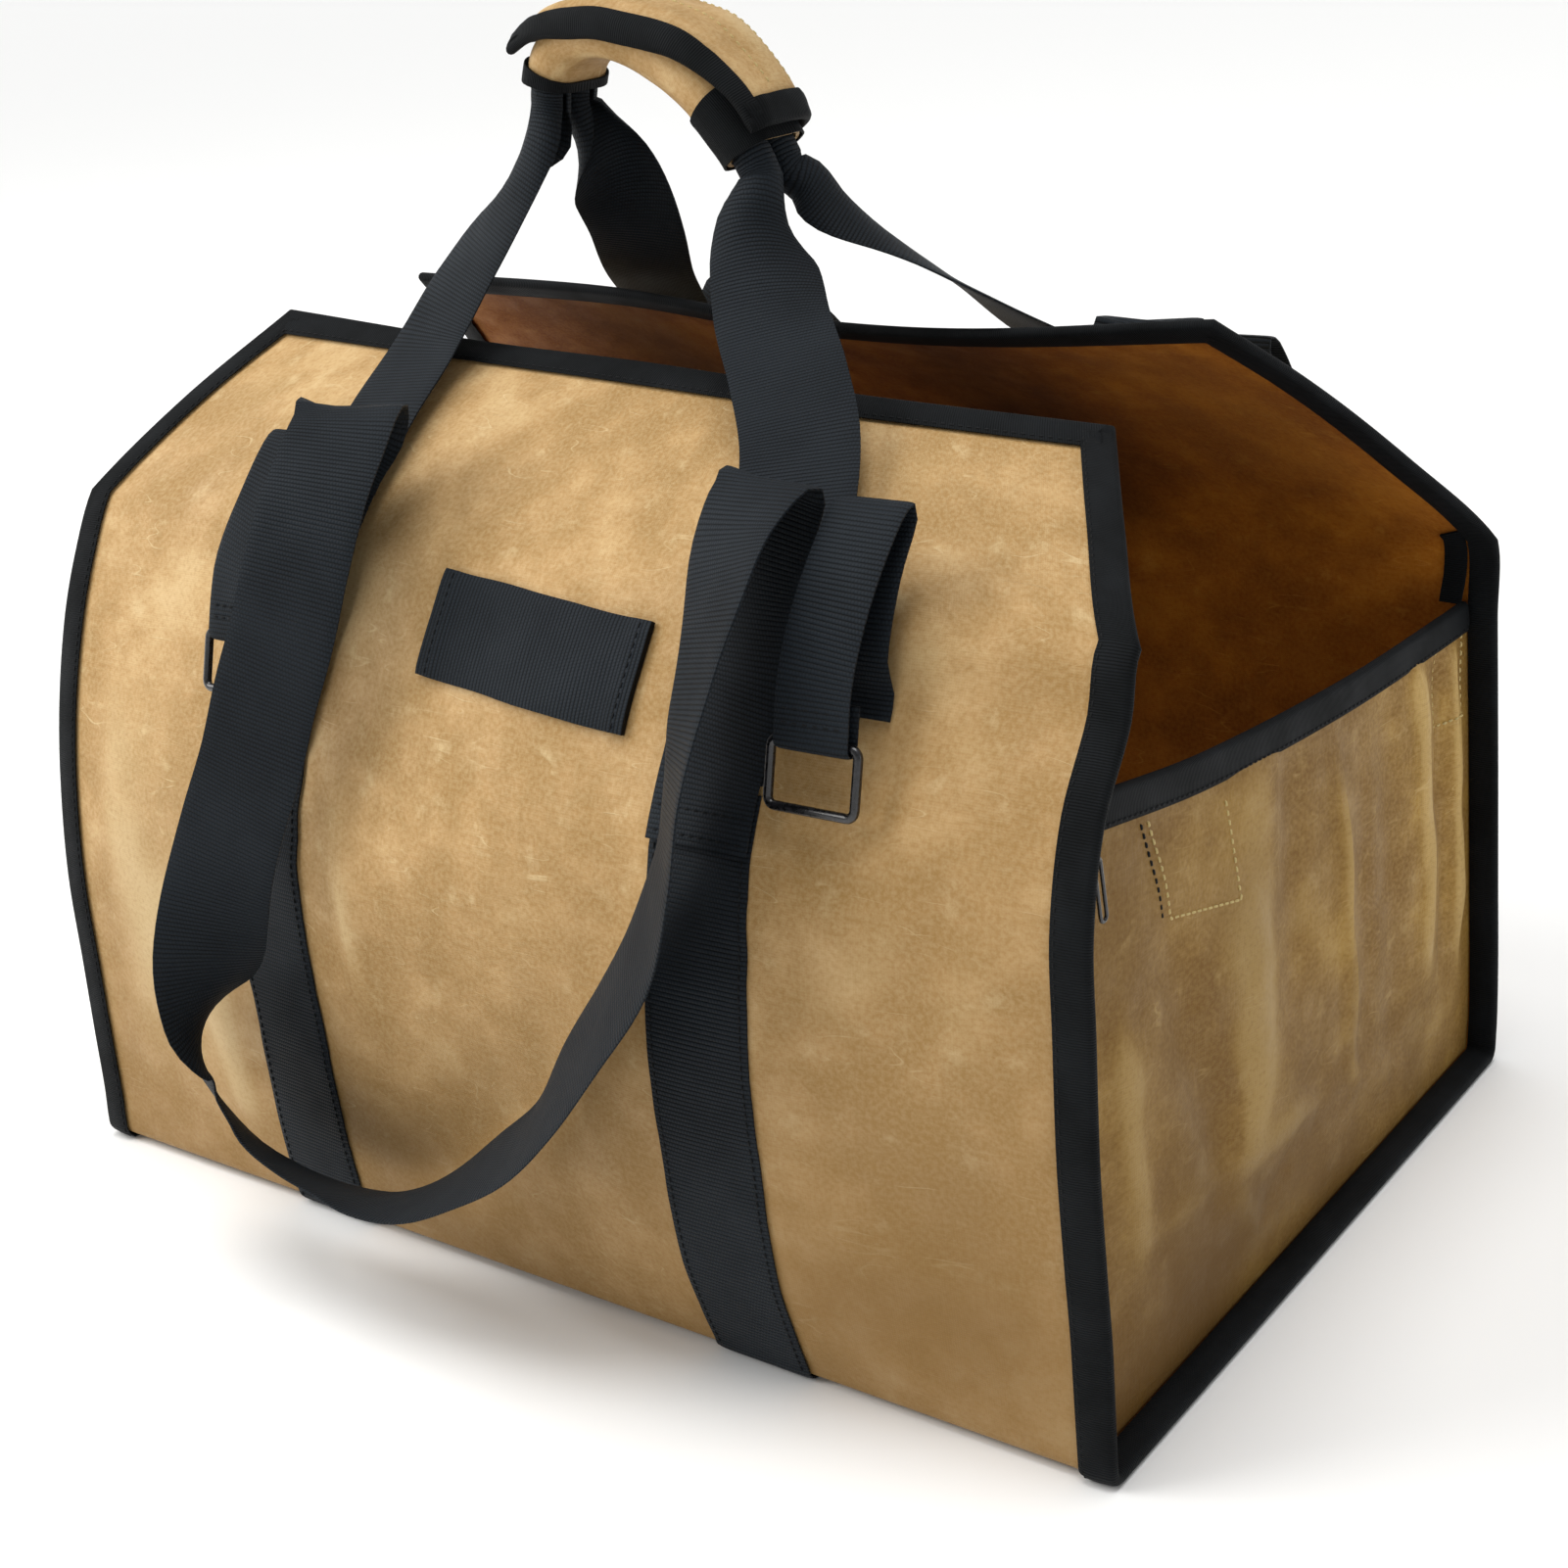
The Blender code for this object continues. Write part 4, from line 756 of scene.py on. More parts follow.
def waxed_canvas(name, dark, middle, light, pale, painted_shade_colour, rough, shine):
    """Cotton duck in a plain weave, waxed: a dull mottled sheet, paler on its ridges, with painted
    shade in its hollows and where its mesh is marked, clouds of wax, thin pale scratches and a
    close weave that breaks up what little shine it has.
    """
    material, tree, place, u, v, noises = start(name, WAX_NOISES)
    broad, patch, cloud, grain = noises
    ridge = add(tree, "Attribute", output="Fac", attribute_name="ridge")
    painted_shade = add(tree, "Attribute", output="Fac", attribute_name="painted_shade")
    scuff = scuff_lines(tree, place)
    over = waves(tree, u, WEAVE_PITCH)
    under = waves(tree, v, WEAVE_PITCH, math.pi / 2)
    weave = add(tree, "Math", (over, under), operation="MAXIMUM")
    tone = weighed(tree, (patch, 0.45), (broad, 0.55))
    base = laid_over(tree, linear(dark), tone, 0.40, 0.60, 1.0, middle)
    base = laid_over(tree, base, tone, 0.52, 0.68, 1.0, light)
    base = laid_over(tree, base, ridge, 0.55, 0.95, 0.55, light)
    base = laid_over(tree, base, ridge, 0.72, 1.0, 0.45, pale)
    # Painted shade in the hollows of the cloth.
    base = laid_over(tree, base, ridge, 0.45, 0.05, 0.40, dark)
    base = laid_over(tree, base, cloud, 0.56, 0.74, 0.32, pale)
    base = add(tree, "Mix", {0: scuff, 6: base, 7: linear(pale)}, 2, data_type="RGBA")
    base = laid_over(tree, base, grain, 0.30, 0.75, 0.22, pale)
    base = laid_over(tree, base, grain, 0.50, 0.20, 0.30, dark)
    # Painted shade, where the mesh's mark is set.
    base = add(tree, "Mix", {0: painted_shade, 6: base, 7: linear(painted_shade_colour)}, 2, data_type="RGBA")
    base = laid_over(tree, base, weave, 0.95, 0.55, 0.16, dark)
    gloss = add(tree, "MapRange", (patch, 0.35, 0.70, rough + 0.08, rough - 0.10),
                interpolation_type=SOFT)
    lumps = weighed(tree, (weave, 0.12), (patch, 1.3), (scuff, 0.35), (grain, 0.22))
    return finish(material, lumps, 0.0009, 0.8, {
        "Base Color": base, "Roughness": gloss, "Specular IOR Level": shine,
        "Sheen Weight": 0.02, "Sheen Roughness": 0.5})


def strap_webbing(name, dark, light, lint_colour):
    """Heavy woven webbing: cross ribs broken by the warp give it a dull grid, with a little
    wear and lint.
    """
    material, tree, _, u, v, (worn, lint) = start(name, WEBBING_NOISES)
    ribs = waves(tree, v, RIB_PITCH)
    row = add(tree, "Math", (v, RIB_PITCH), operation="DIVIDE")
    row = add(tree, "Math", (row,), operation="FLOOR")
    shifted = add(tree, "Math", (row, 0.75, u), operation="MULTIPLY_ADD")
    warp = add(tree, "Math", (waves(tree, shifted, WARP_PITCH), 0.35, 0.65),
               operation="MULTIPLY_ADD")
    crest = add(tree, "Math", (ribs, 0.6), operation="POWER")
    height = add(tree, "Math", (crest, warp), operation="MULTIPLY")
    tone = weighed(tree, (height, 0.6), (worn, 0.5))
    base = laid_over(tree, linear(dark), tone, 0.25, 0.85, 1.0, light)
    base = laid_over(tree, base, lint, 0.62, 0.85, 0.25, lint_colour)
    gloss = add(tree, "MapRange", (worn, 0.3, 0.7, 0.70, 0.56), interpolation_type=SOFT)
    return finish(material, height, 0.00045, 0.9, {
        "Base Color": base, "Roughness": gloss, "Specular IOR Level": 0.12,
        "Sheen Weight": 0.02, "Sheen Roughness": 0.4})


def edge_tape(name, dark, light, lint_colour):
    """Narrow woven tape: fine ribs across it make a soft, flat black, a little worn."""
    material, tree, _, _, v, (worn, lint) = start(name, TAPE_NOISES)
    ribs = waves(tree, v, TAPE_PITCH)
    tone = weighed(tree, (ribs, 0.35), (worn, 0.7))
    base = laid_over(tree, linear(dark), tone, 0.30, 0.85, 1.0, light)
    base = laid_over(tree, base, lint, 0.62, 0.88, 0.22, lint_colour)
    gloss = add(tree, "MapRange", (worn, 0.3, 0.7, 0.72, 0.58), interpolation_type=SOFT)
    return finish(material, weighed(tree, (ribs, 1.0), (worn, 1.5)), 0.00028, 0.8, {
        "Base Color": base, "Roughness": gloss, "Specular IOR Level": 0.08,
        "Sheen Weight": 0.01})


def painted_metal(name, dark, dusty):
    """Gloss black paint on steel wire: nearly even, with small dusty specks in its shine."""
    material, tree, _, _, _, (spots,) = start(name, PAINT_NOISES)
    base = laid_over(tree, linear(dark), spots, 0.45, 0.75, 1.0, dusty)
    gloss = add(tree, "MapRange", (spots, 0.3, 0.7, 0.22, 0.36), interpolation_type=SOFT)
    return finish(material, spots, 0.00006, 0.6, {
        "Base Color": base, "Roughness": gloss, "Metallic": 0.35, "Coat Weight": 0.6,
        "Coat Roughness": 0.16})


def sewing_thread(name, dark, light):
    """Twisted polyester thread: slanting plies catch a soft shine."""
    material, tree, _, u, v, _ = start(name)
    slant = add(tree, "Math", (u, v), operation="ADD")
    plies = waves(tree, slant, PLY_PITCH)
    base = add(tree, "Mix", {0: plies, 6: linear(dark), 7: linear(light)}, 2, data_type="RGBA")
    return finish(material, plies, 0.0001, 0.6, {
        "Base Color": base, "Roughness": 0.65, "Specular IOR Level": 0.15})


# The fifth colour of each canvas is the painted shade that its marked places take.
CLOTH = waxed_canvas("waxed_canvas", "9B7845", "B48F5C", "C6A674", "DEC99C", "7A5B2C",
                     0.60, 0.26)
# A darker copy of the same canvas, which paints the shade that lies on the ends.
CLOTH_END_PAINTED_SHADE = waxed_canvas("waxed_canvas_painted_shade_end", "79561A", "957028", "B28E44", "D0B276", "5C4014",
                         0.55, 0.20)
# A red-brown copy of the same canvas, which paints the shade inside and the red of light bounced
# round it.
CLOTH_INSIDE_PAINTED_SHADE = waxed_canvas("canvas_inside_painted_shade", "84480B", "A66214", "B8741E", "C88C38", "2C1806",
                            0.70, 0.12)
WEB = strap_webbing("ribbed_webbing", "060708", "1B2127", "3C4046")
BINDING = edge_tape("binding_tape", "050606", "131619", "3A3D41")
METAL = painted_metal("black_painted_steel", "0B0B0D", "232228")
THREAD_TAN = sewing_thread("khaki_thread", "8A7442", "D2BE86")
THREAD_BLACK = sewing_thread("black_thread", "050506", "141618")


# Meshes


def placed(name, data):
    """A new object of the scene."""
    obj = bpy.data.objects.new(name, data)
    bpy.context.scene.collection.objects.link(obj)
    return obj


def skin(name, sections, across, along, materials, inner=None, closed=False, ridge=None,
         painted_shade=None):
    """Closed mesh through even loops of points, mapped in metres and set on the object's body.

    Each loop runs over the outside and back over the inside; inner is where the inside starts.
    """
    sections = np.asarray(sections, float)
    stations, sides = sections.shape[:2]
    first = np.arange(stations if closed else stations - 1)
    r, c = np.meshgrid(first, np.arange(sides), indexing="ij")
    r2 = (r + 1) % stations
    c2 = (c + 1) % sides
    quads = np.stack([r * sides + c, r * sides + c2, r2 * sides + c2, r2 * sides + c], -1)
    quads = quads.reshape(-1, 4)
    across = np.append(across, across[0])
    along = np.append(along, along[-1] + np.linalg.norm(sections[0, 0] - sections[-1, 0]))
    u = np.stack([across[c], across[c + 1], across[c + 1], across[c]], -1).reshape(-1)
    v = np.stack([along[r], along[r], along[r + 1], along[r + 1]], -1).reshape(-1)
    slots = np.zeros(len(quads), int)
    if len(materials) > 1:
        slots = (c >= inner).astype(int).reshape(-1)
    faces = quads.tolist()
    if not closed:
        for base in (0, (stations - 1) * sides):
            for i in range(sides // 2 - 1):
                faces.append([base + i, base + i + 1, base + sides - 2 - i, base + sides - 1 - i])
        caps = len(faces) - len(quads)
        u = np.concatenate([u, np.zeros(caps * 4)])
        v = np.concatenate([v, np.zeros(caps * 4)])
        slots = np.concatenate([slots, np.zeros(caps, int)])
    mesh = bpy.data.meshes.new(name)
    mesh.from_pydata(sections.reshape(-1, 3).tolist(), [], faces)
    mesh.uv_layers.new(name="UVMap").data.foreach_set("uv", np.stack([u, v], -1).ravel())
    for material in materials:
        mesh.materials.append(material)
    mesh.polygons.foreach_set("material_index", slots)
    for layer, marks in (("ridge", ridge), ("painted_shade", painted_shade)):
        if marks is not None:
            mark = mesh.attributes.new(layer, "FLOAT", "POINT")
            mark.data.foreach_set("value", np.asarray(marks, np.float32).ravel())
    shape = bmesh.new()
    shape.from_mesh(mesh)
    bmesh.ops.recalc_face_normals(shape, faces=shape.faces)
    shape.to_mesh(mesh)
    shape.free()
    mesh.shade_smooth()
    mesh.set_sharp_from_angle(angle=math.radians(50))
    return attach(placed(name, mesh), "root")


def cloth(name, middle, normals, low, high, across, along, materials, closed=False, ridge=None,
          painted_shade=None):
    """Sheet between two offsets of a grid of points; across and along are its map in metres.

    The last argument is a pair: how much painted shade darkens its outer and its inner face at each
    point.
    """
    outer = middle + normals * np.asarray(high)[..., None]
    inside = middle + normals * np.asarray(low)[..., None]
    sections = np.concatenate([outer, inside[:, ::-1]], axis=1)
    both = np.concatenate([across, across[::-1]])
    if ridge is not None:
        ridge = np.concatenate([ridge, ridge[:, ::-1]], axis=1)
    if painted_shade is not None:
        painted_shade = np.concatenate([painted_shade[0], painted_shade[1][:, ::-1]], axis=1)
    return skin(name, sections, both, along, materials, middle.shape[1], closed, ridge, painted_shade)


def steps_along(points):
    """Lengths along a line of points, from its start."""
    return np.concatenate([[0.0], np.cumsum(np.linalg.norm(np.diff(points, axis=0), axis=1))])


def read_along(stops, lengths, points):
    """Points read at lengths along a line."""
    return np.stack([np.interp(stops, lengths, points[:, i]) for i in range(3)], -1)


def cloth_area(middle):
    """Area of a grid of points."""
    a = middle[1:, :-1] - middle[:-1, :-1]
    b = middle[:-1, 1:] - middle[:-1, :-1]
    return float(np.linalg.norm(np.cross(a, b), axis=-1).sum())


# Painted shadows inside, as dark patches: x, height, half width and half height of each, and how
# dark it is.
PAINTED_SHADOWS_INSIDE = (
    (-0.120, 0.345, 0.050, 0.070, 0.75),
    (0.070, 0.320, 0.055, 0.090, 0.80),
    (-0.010, 0.300, 0.090, 0.040, 0.60),
)


def body_canvas():
    """The body's sheet, with painted shade low down outside and painted shade and shadows inside.
    """
    across = COLUMNS * HALF_WIDTH
    ridge = ridges(SWELL, 0.006)
    x = GRID[..., 0]
    height = GRID[..., 2]
    # Painted shade: outside it darkens towards the base and a little to the right, and not near the
    # top.
    outside = 0.50 * smooth(0.24, 0.02, height) + 0.22 * smooth(-0.05, 0.28, x)
    outside = outside * smooth(0.40, 0.26, height)
    outside = outside * (1 + 0.35 * ripples(x, height, 0.060, 21))
    # Inside, painted shade darkens it towards the bottom, and painted shadows lie over it in
    # patches.
    inside = 0.35 * smooth(0.34, 0.05, height)
    for spot_x, spot_z, wide, tall, deep in PAINTED_SHADOWS_INSIDE:
        spread = ((x - spot_x) / wide) ** 2 + ((height - spot_z) / tall) ** 2
        spread = spread * (1 + 0.4 * ripples(x, height, 0.035, 22))
        inside = np.maximum(inside, deep * np.exp(-spread))
    none = np.zeros(SWELL.shape)
    obj = cloth("canvas_body", GRID, GRID_NORMALS, none - CANVAS, none, across, ROWS,
                (CLOTH, CLOTH_INSIDE_PAINTED_SHADE), ridge=ridge,
                painted_shade=(np.clip(outside, 0, 1), np.clip(inside, 0, 1)))
    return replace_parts(obj, "body_canvas")


def wrapped(edge, outer_leg, inner_leg, normal, outward, thick):
    """Middle line and normals of tape folded over an edge, from its outer leg to its inner leg.

    Each leg lists pairs of a face point and its normal, starting away from the edge.
    """
    lift = TAPE_GAP + TAPE / 2
    line = []
    facing = []
    count = len(outer_leg)
    for i, (point, out) in enumerate(outer_leg):
        puff = TAPE_PUFF * math.sin(math.pi * (i + 0.4) / count)
        line.append(point + out * (lift + puff))
        facing.append(out)
    centre = edge - normal * thick / 2
    for angle in (90, 60, 30, 0, -30, -60, -90):
        turn = math.radians(angle)
        out = normal * math.sin(turn) + outward * math.cos(turn)
        line.append(centre + out * (thick / 2 + lift))
        facing.append(unit(out))
    for i, (point, out) in enumerate(reversed(inner_leg)):
        puff = TAPE_PUFF * math.sin(math.pi * (count - i - 0.6) / count)
        line.append(point - out * (thick + lift + puff))
        facing.append(-out)
    return line, facing


def bind(name, lines, closed):
    """Tape through lines across it and their normals, thinner at its edges."""
    middle = np.array([line for line, _ in lines])
    facing = np.array([facing for _, facing in lines])
    across = steps_along(middle[len(middle) // 2])
    along = steps_along(middle[:, middle.shape[1] // 2])
    half = np.full(middle.shape[:2], TAPE / 2)
    half[:, [0, -1]] *= TAPE_RIM
    return cloth(name, middle, facing, -half, half, across, along, (BINDING,), closed)


def edge_binding():
    """Tape folded round the whole edge of the sheet, and the places of its stitches."""
    shares = (1.0, 0.8, 0.6, 0.4, 0.2)
    lines = []
    seams = []

    def station(share, row, side, end):
        reach = half_width(row)

        def inward(width):
            return facet(share - side * width / reach, row + end * width)

        edge, at_edge = facet(share, row)
        outward = np.zeros(3)
        if side:
            outward += unit(edge - facet(share - side * EDGE_TAPE / reach, row)[0])
        if end:
            outward += unit(edge - facet(share, row + end * EDGE_TAPE)[0])
        lines.append(wrapped(edge, [inward(EDGE_TAPE * s) for s in shares],
                             [inward(TAPE_REACH * s) for s in shares], at_edge, outward, CANVAS))
        point, normal = inward(EDGE_TAPE * BODY_SEAM)
        seams.append((point + normal * (TAPE_GAP + TAPE + TAPE_PUFF * 0.4), normal))

    last = ROWS[-1]
    station(1, 0.0, 1, 1)
    for row in ROWS[1:-1]:
        station(1, row, 1, 0)
    station(1, last, 1, -1)
    for share in COLUMNS[-2:0:-1]:
        station(share, last, 0, -1)
    station(-1, last, -1, -1)
    for row in ROWS[-2:0:-1]:
        station(-1, row, -1, 0)
    station(-1, 0.0, -1, 1)
    for share in COLUMNS[1:-1]:
        station(share, 0.0, 0, 1)
    obj = bind("binding_body", lines, True)
    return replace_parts(obj, "edge_binding"), seams


# Soft folds in the end panels: from a place to a place, each the share from front to back and
# the share up the panel, then half the fold's width and how far it stands out.
END_CREASES = (
    (0.60, 0.84, 0.615, 0.28, 0.0055, 0.00375),
    (0.66, 0.80, 0.67, 0.35, 0.0100, -0.00300),
    (0.83, 0.97, 0.845, 0.35, 0.0070, 0.00425),
    (0.895, 0.97, 0.905, 0.30, 0.0060, -0.00450),
    (0.945, 0.92, 0.95, 0.30, 0.0050, 0.00325),
    (0.20, 0.72, 0.30, 0.30, 0.0150, -0.00525),
    (0.37, 0.70, 0.36, 0.32, 0.0120, 0.00325),
    (0.10, 0.66, 0.12, 0.25, 0.0090, 0.00250),
    (0.48, 0.92, 0.46, 0.48, 0.0130, -0.00375),
    (0.74, 0.88, 0.75, 0.20, 0.0140, -0.00375),
    (0.16, 0.29, 0.56, 0.26, 0.0060, 0.00200),
    (0.30, 0.24, 0.37, 0.12, 0.0070, 0.00225),
    (0.37, 0.12, 0.47, 0.22, 0.0070, -0.00200),
    (0.62, 0.24, 0.80, 0.10, 0.0080, 0.00225),
)


def end_profile(end, side):
    """Line in height and Y just inside the sheet where an end panel meets it, base first."""
    share = end * END_FACE / HALF_WIDTH
    rows = [row for row in ROWS if (row < SHEET_LENGTH / 2) == (side == FRONT)]
    if side == FRONT:
        rows = rows[::-1]
    line = []
    for row in rows:
        point, normal = facet(share, row)
        inside = point - normal * (CANVAS + SOFT_GAP)
        line.append((inside[2], inside[1]))
    return np.array(line)


PROFILES = {(end, side): end_profile(end, side) for end in (1, -1) for side in (FRONT, BACK)}
END_FLOOR = BASE_HEIGHT + CANVAS + SOFT_GAP
# Width and height of each end panel, set when it is made.
END_SIZES = {}
# Swells of the ends: how far they stand out, how wide they are and how they are drawn up the
# panel, and the first seed of each end.
END_SWELLS = ((0.0020, 0.050, 0.5), (0.0007, 0.024, 1.0))
END_SEEDS = {1: 31, -1: 41}


def profile_y(end, side, height):
    """Y where an end meets the front or the back at a height."""
    heights, places = PROFILES[end, side].T
    return float(np.interp(height, heights, places))


def end_height(forward):
    """Height of an end's top edge at a place in Y."""
    places = np.array([share * HALF_DEPTH for share, _ in END_TOP])
    heights = np.array([share * BODY_HEIGHT for _, share in END_TOP])
    return float(blend(places, heights, np.clip(forward, places[0], places[-1])))


def end_corner(end, side):
    """Height of an end's top edge where it meets the front or the back."""
    height = END_TOP[0 if side == FRONT else -1][1] * BODY_HEIGHT
    for _ in range(6):
        height = end_height(profile_y(end, side, height))
    return height


def end_place(end, share, rise):
    """Point of an end panel's plain outer face, share from front to back, rise from its foot."""
    tops = {side: end_corner(end, side) for side in (FRONT, BACK)}
    corners = {side: profile_y(end, side, tops[side]) for side in (FRONT, BACK)}
    top = end_height((1 - share) * corners[FRONT] + share * corners[BACK])
    height = END_FLOOR + (top - END_FLOOR) * rise
    forward = (1 - share) * profile_y(end, FRONT, min(height, tops[FRONT]))
    forward += share * profile_y(end, BACK, min(height, tops[BACK]))
    bulge = math.sin(math.pi * share) * max(math.sin(math.pi * rise), 0.0) ** BULGE_FULLNESS
    return end * (END_FACE + bulge * END_BULGE), forward, height


def end_swell(end, shares, rises):
    """How far an end panel stands out from its plain face, at shares across and up it."""
    width, height = END_SIZES[end]
    seed = END_SEEDS[end]
    swell = sum(out * ripples(shares * width, rises * height * drawn, wide, seed + i)
                for i, (out, wide, drawn) in enumerate(END_SWELLS))
    for s0, r0, s1, r1, reach, depth in END_CREASES:
        t, off = on_fold((shares - s0) * width, (rises - r0) * height, (s1 - s0) * width,
                         (r1 - r0) * height)
        off = off + 0.004 * ripples(t * 4.0, 0.0, 1.0, seed + 2)
        shape = np.exp(-(off / reach) ** 2) * smooth(-0.3, 0.2, t) * smooth(1.3, 0.8, t)
        swell += depth * shape
    free = smooth(0.0, 0.05, shares) * smooth(1.0, 0.95, shares)
    return swell * free * smooth(0.02, 0.12, rises) * smooth(1.0, 0.90, rises)


def end_panel(side_name, end):
    """Canvas end and the tape over its top edge; end is 1 at the right, -1 at the left."""
    inner = FOLD_RADIUS - CANVAS - SOFT_GAP
    shares = np.sort(np.concatenate([np.linspace(0.0, 1.0, END_GRID[0]), END_RIMS]))
    foot = [inner * (1 - math.cos(math.radians(a))) for a in (0, 30, 60)]
    tall = end_place(end, 0.5, 1.0)[2] - END_FLOOR
    rises = np.array([f / tall for f in foot] + list(np.linspace(inner / tall, 1.0, END_GRID[1])))
    plain = np.array([[end_place(end, share, rise) for share in shares] for rise in rises])
    width = float(np.ptp(plain[-1, :, 1]))
    END_SIZES[end] = (width, tall)
    swell = end_swell(end, shares[None, :], rises[:, None])
    grid = plain.copy()
    grid[..., 0] += end * swell
    normals = np.zeros_like(grid)
    normals[..., 0] = end
    ridge = ridges(swell, 0.0065)
    none = np.zeros(swell.shape)
    # Painted shade: an end darkens towards the front and towards its foot.
    painted_shade = 0.42 * smooth(0.95, 0.25, shares)[None, :] + 0.30 * smooth(0.60, 0.05, rises)[:, None]
    painted_shade = painted_shade * (1 + 0.4 * ripples(shares[None, :] * width, rises[:, None] * tall, 0.045, 51))
    panel = cloth("canvas_end_" + side_name, grid, normals, none - CANVAS, none, shares * width,
                  rises * tall, (CLOTH_END_PAINTED_SHADE, CLOTH_INSIDE_PAINTED_SHADE), ridge=ridge,
                  painted_shade=(np.clip(painted_shade, 0.0, 1.0), none))
    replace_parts(panel, "end_panel_" + side_name)

    top = grid[-1]
    lengths = steps_along(top)
    normal = end * TO_RIGHT
    lines = []
    seam = []
    for stop in np.linspace(END_TAPE_SETBACK, lengths[-1] - END_TAPE_SETBACK, END_TAPE_LINES):
        edge = read_along(stop, lengths, top)
        leg = [(edge - UP * END_TAPE * s, normal) for s in (1.0, 0.75, 0.5, 0.25)]
        lines.append(wrapped(edge, leg, leg, normal, UP, CANVAS))
        stitch = edge - UP * END_TAPE * END_SEAM + normal * (TAPE_GAP + TAPE + TAPE_PUFF / 2)
        seam.append((stitch, normal))
    tape = bind("binding_end_" + side_name, lines, False)
    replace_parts(tape, "end_binding_" + side_name)
    flat = (width, float(np.max(top[:, 2])) - END_FLOOR)
    return panel, tape, seam, flat, cloth_area(grid)


# Seams sewn through the end panels from inside: places in Y and height.
POCKET_SEAMS = (
    ((-0.134, 0.258), (-0.121, 0.212), (-0.068, 0.199), (-0.073, 0.244)),
    ((0.150, 0.236), (0.148, 0.196), (0.176, 0.196), (0.178, 0.236)),
)
DARK_SEAM = ((-0.140, 0.259), (-0.127, 0.214))


def panel_line(end, corners):
    """Points and normals on an end panel's face along lines between places in Y and height."""
    line = []
    for (y0, z0), (y1, z1) in zip(corners, corners[1:]):
        line += [(y0 + (y1 - y0) * t, z0 + (z1 - z0) * t) for t in np.linspace(0.0, 1.0, 14)]
    width = profile_y(end, BACK, 0.2) - profile_y(end, FRONT, 0.2)
    seam = []
    for forward, height in line:
        share = (forward - profile_y(end, FRONT, height)) / width
        rise = (height - END_FLOOR) / (end_height(forward) - END_FLOOR)
        swell = float(end_swell(end, np.array(share), np.array(rise)))
        face = end_place(end, share, rise)[0] + end * swell
        seam.append((np.array([face, forward, height]), end * TO_RIGHT))
    return seam


def strap_profile(columns):
    """Places across a strap from -0.5 to 0.5, closer at its edges, and its half thickness."""
    places = 0.5 * np.sin(np.linspace(-90.0, 90.0, columns) * math.pi / 180)
    half = WEBBING / 2 * np.sqrt(np.maximum(1 - np.abs(2 * places) ** STRAP_SQUARENESS,
                                       STRAP_RIM))
    return places, half


def carry_webbing(side_name, side):
    """Strap sewn up the front, under the base and up the back, and its two stitch rows."""
    places, half = strap_profile(STRAP_COLUMNS)
    shares = (side * HALF_STRAPS + WEB_WIDTH * places) / HALF_WIDTH
    start = length_at(FRONT, side * HALF_STRAPS / HALF_WIDTH, SEWN_HEIGHT)
    end = length_at(BACK, side * HALF_STRAPS / HALF_WIDTH, SEWN_HEIGHT)
    inside = ROWS[(ROWS > start + ROW_MARGIN) & (ROWS < end - ROW_MARGIN)]
    rows = np.concatenate([[start], inside, [end]])
    faces = np.array([[facet(share, row) for share in shares] for row in rows])
    lift = GAP + WEBBING / 2
    grid = faces[:, :, 0] + faces[:, :, 1] * lift
    both = np.broadcast_to(half, grid.shape[:2])
    obj = cloth("webbing_carry_" + side_name, grid, faces[:, :, 1], -both, both,
                places * WEB_WIDTH, rows, (WEB,))
    seams = []
    for edge in (-1, 1):
        share = (side * HALF_STRAPS + edge * (WEB_WIDTH / 2 - STRAP_SEAM)) / HALF_WIDTH
        line = [facet(share, row) for row in rows[1:-1]]
        line = [(point + normal * (GAP + WEBBING), normal) for point, normal in line]
        seams.append([pair for pair in line if pair[0][2] > FOLD_RADIUS])
    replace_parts(obj, "carry_webbing_" + side_name)
    return obj, seams, float(rows[-1] - rows[0])


def sewn_row(share, length, lift):
    """A route row on a panel's face: its point and the turn of the face across there."""
    point, normal = facet(share, length)
    step = WEB_WIDTH / 2 / HALF_WIDTH
    slope = facet(share + step, length)[0] - facet(share - step, length)[0]
    return point + unit(normal) * lift, math.degrees(math.atan2(slope[1], slope[0]))


def lying_rows(side, across, low_height, lift, looseness=0.0):
    """Route rows on a panel's face, from a height at or under the seam to the lying top."""
    share = across[0] / HALF_WIDTH
    low = length_at(side, share, low_height)
    seam = length_at(side, share, max(low_height, SEWN_HEIGHT))
    high = length_at(side, share, LYING_TOP * BODY_HEIGHT)
    between_them = sorted((low, high))
    inside = [row for row in ROWS
              if between_them[0] + ROW_MARGIN < row < between_them[1] - ROW_MARGIN]
    if side == FRONT:
        inside.reverse()
    points = []
    turns = []
    for length in [low] + inside + [high]:
        t = float(np.clip((length - seam) / (high - seam), 0.0, 1.0))
        place = across[0] * (1 - t) + across[1] * t
        point, turn = sewn_row(place / HALF_WIDTH, length, lift + t * looseness)
        points.append(point)
        turns.append(turn)
    return points, turns


def free_point(across, forward, height, side):
    """Point of free webbing from its shares."""
    return (across * HALF_STRAPS, side * forward * HALF_DEPTH, height * BODY_HEIGHT)


def hung_point(across, forward, height, side):
    """Point of a loop or a ring strap, which stands further out at the back."""
    if side == BACK:
        stand = np.interp(across, (-1.0, 1.0), BACK_STAND)
        forward += float(stand * np.interp(height, BACK_STAND_HEIGHTS, (0.0, 1.0)))
    return free_point(across, forward, height, side)


def free_rows(table, side, place):
    """Points, turns and last column of a table of free webbing on the front or the back."""
    points = [place(*row[:3], side) for row in table]
    turns = [-side * row[3] for row in table]
    return points, turns, [row[4] for row in table]


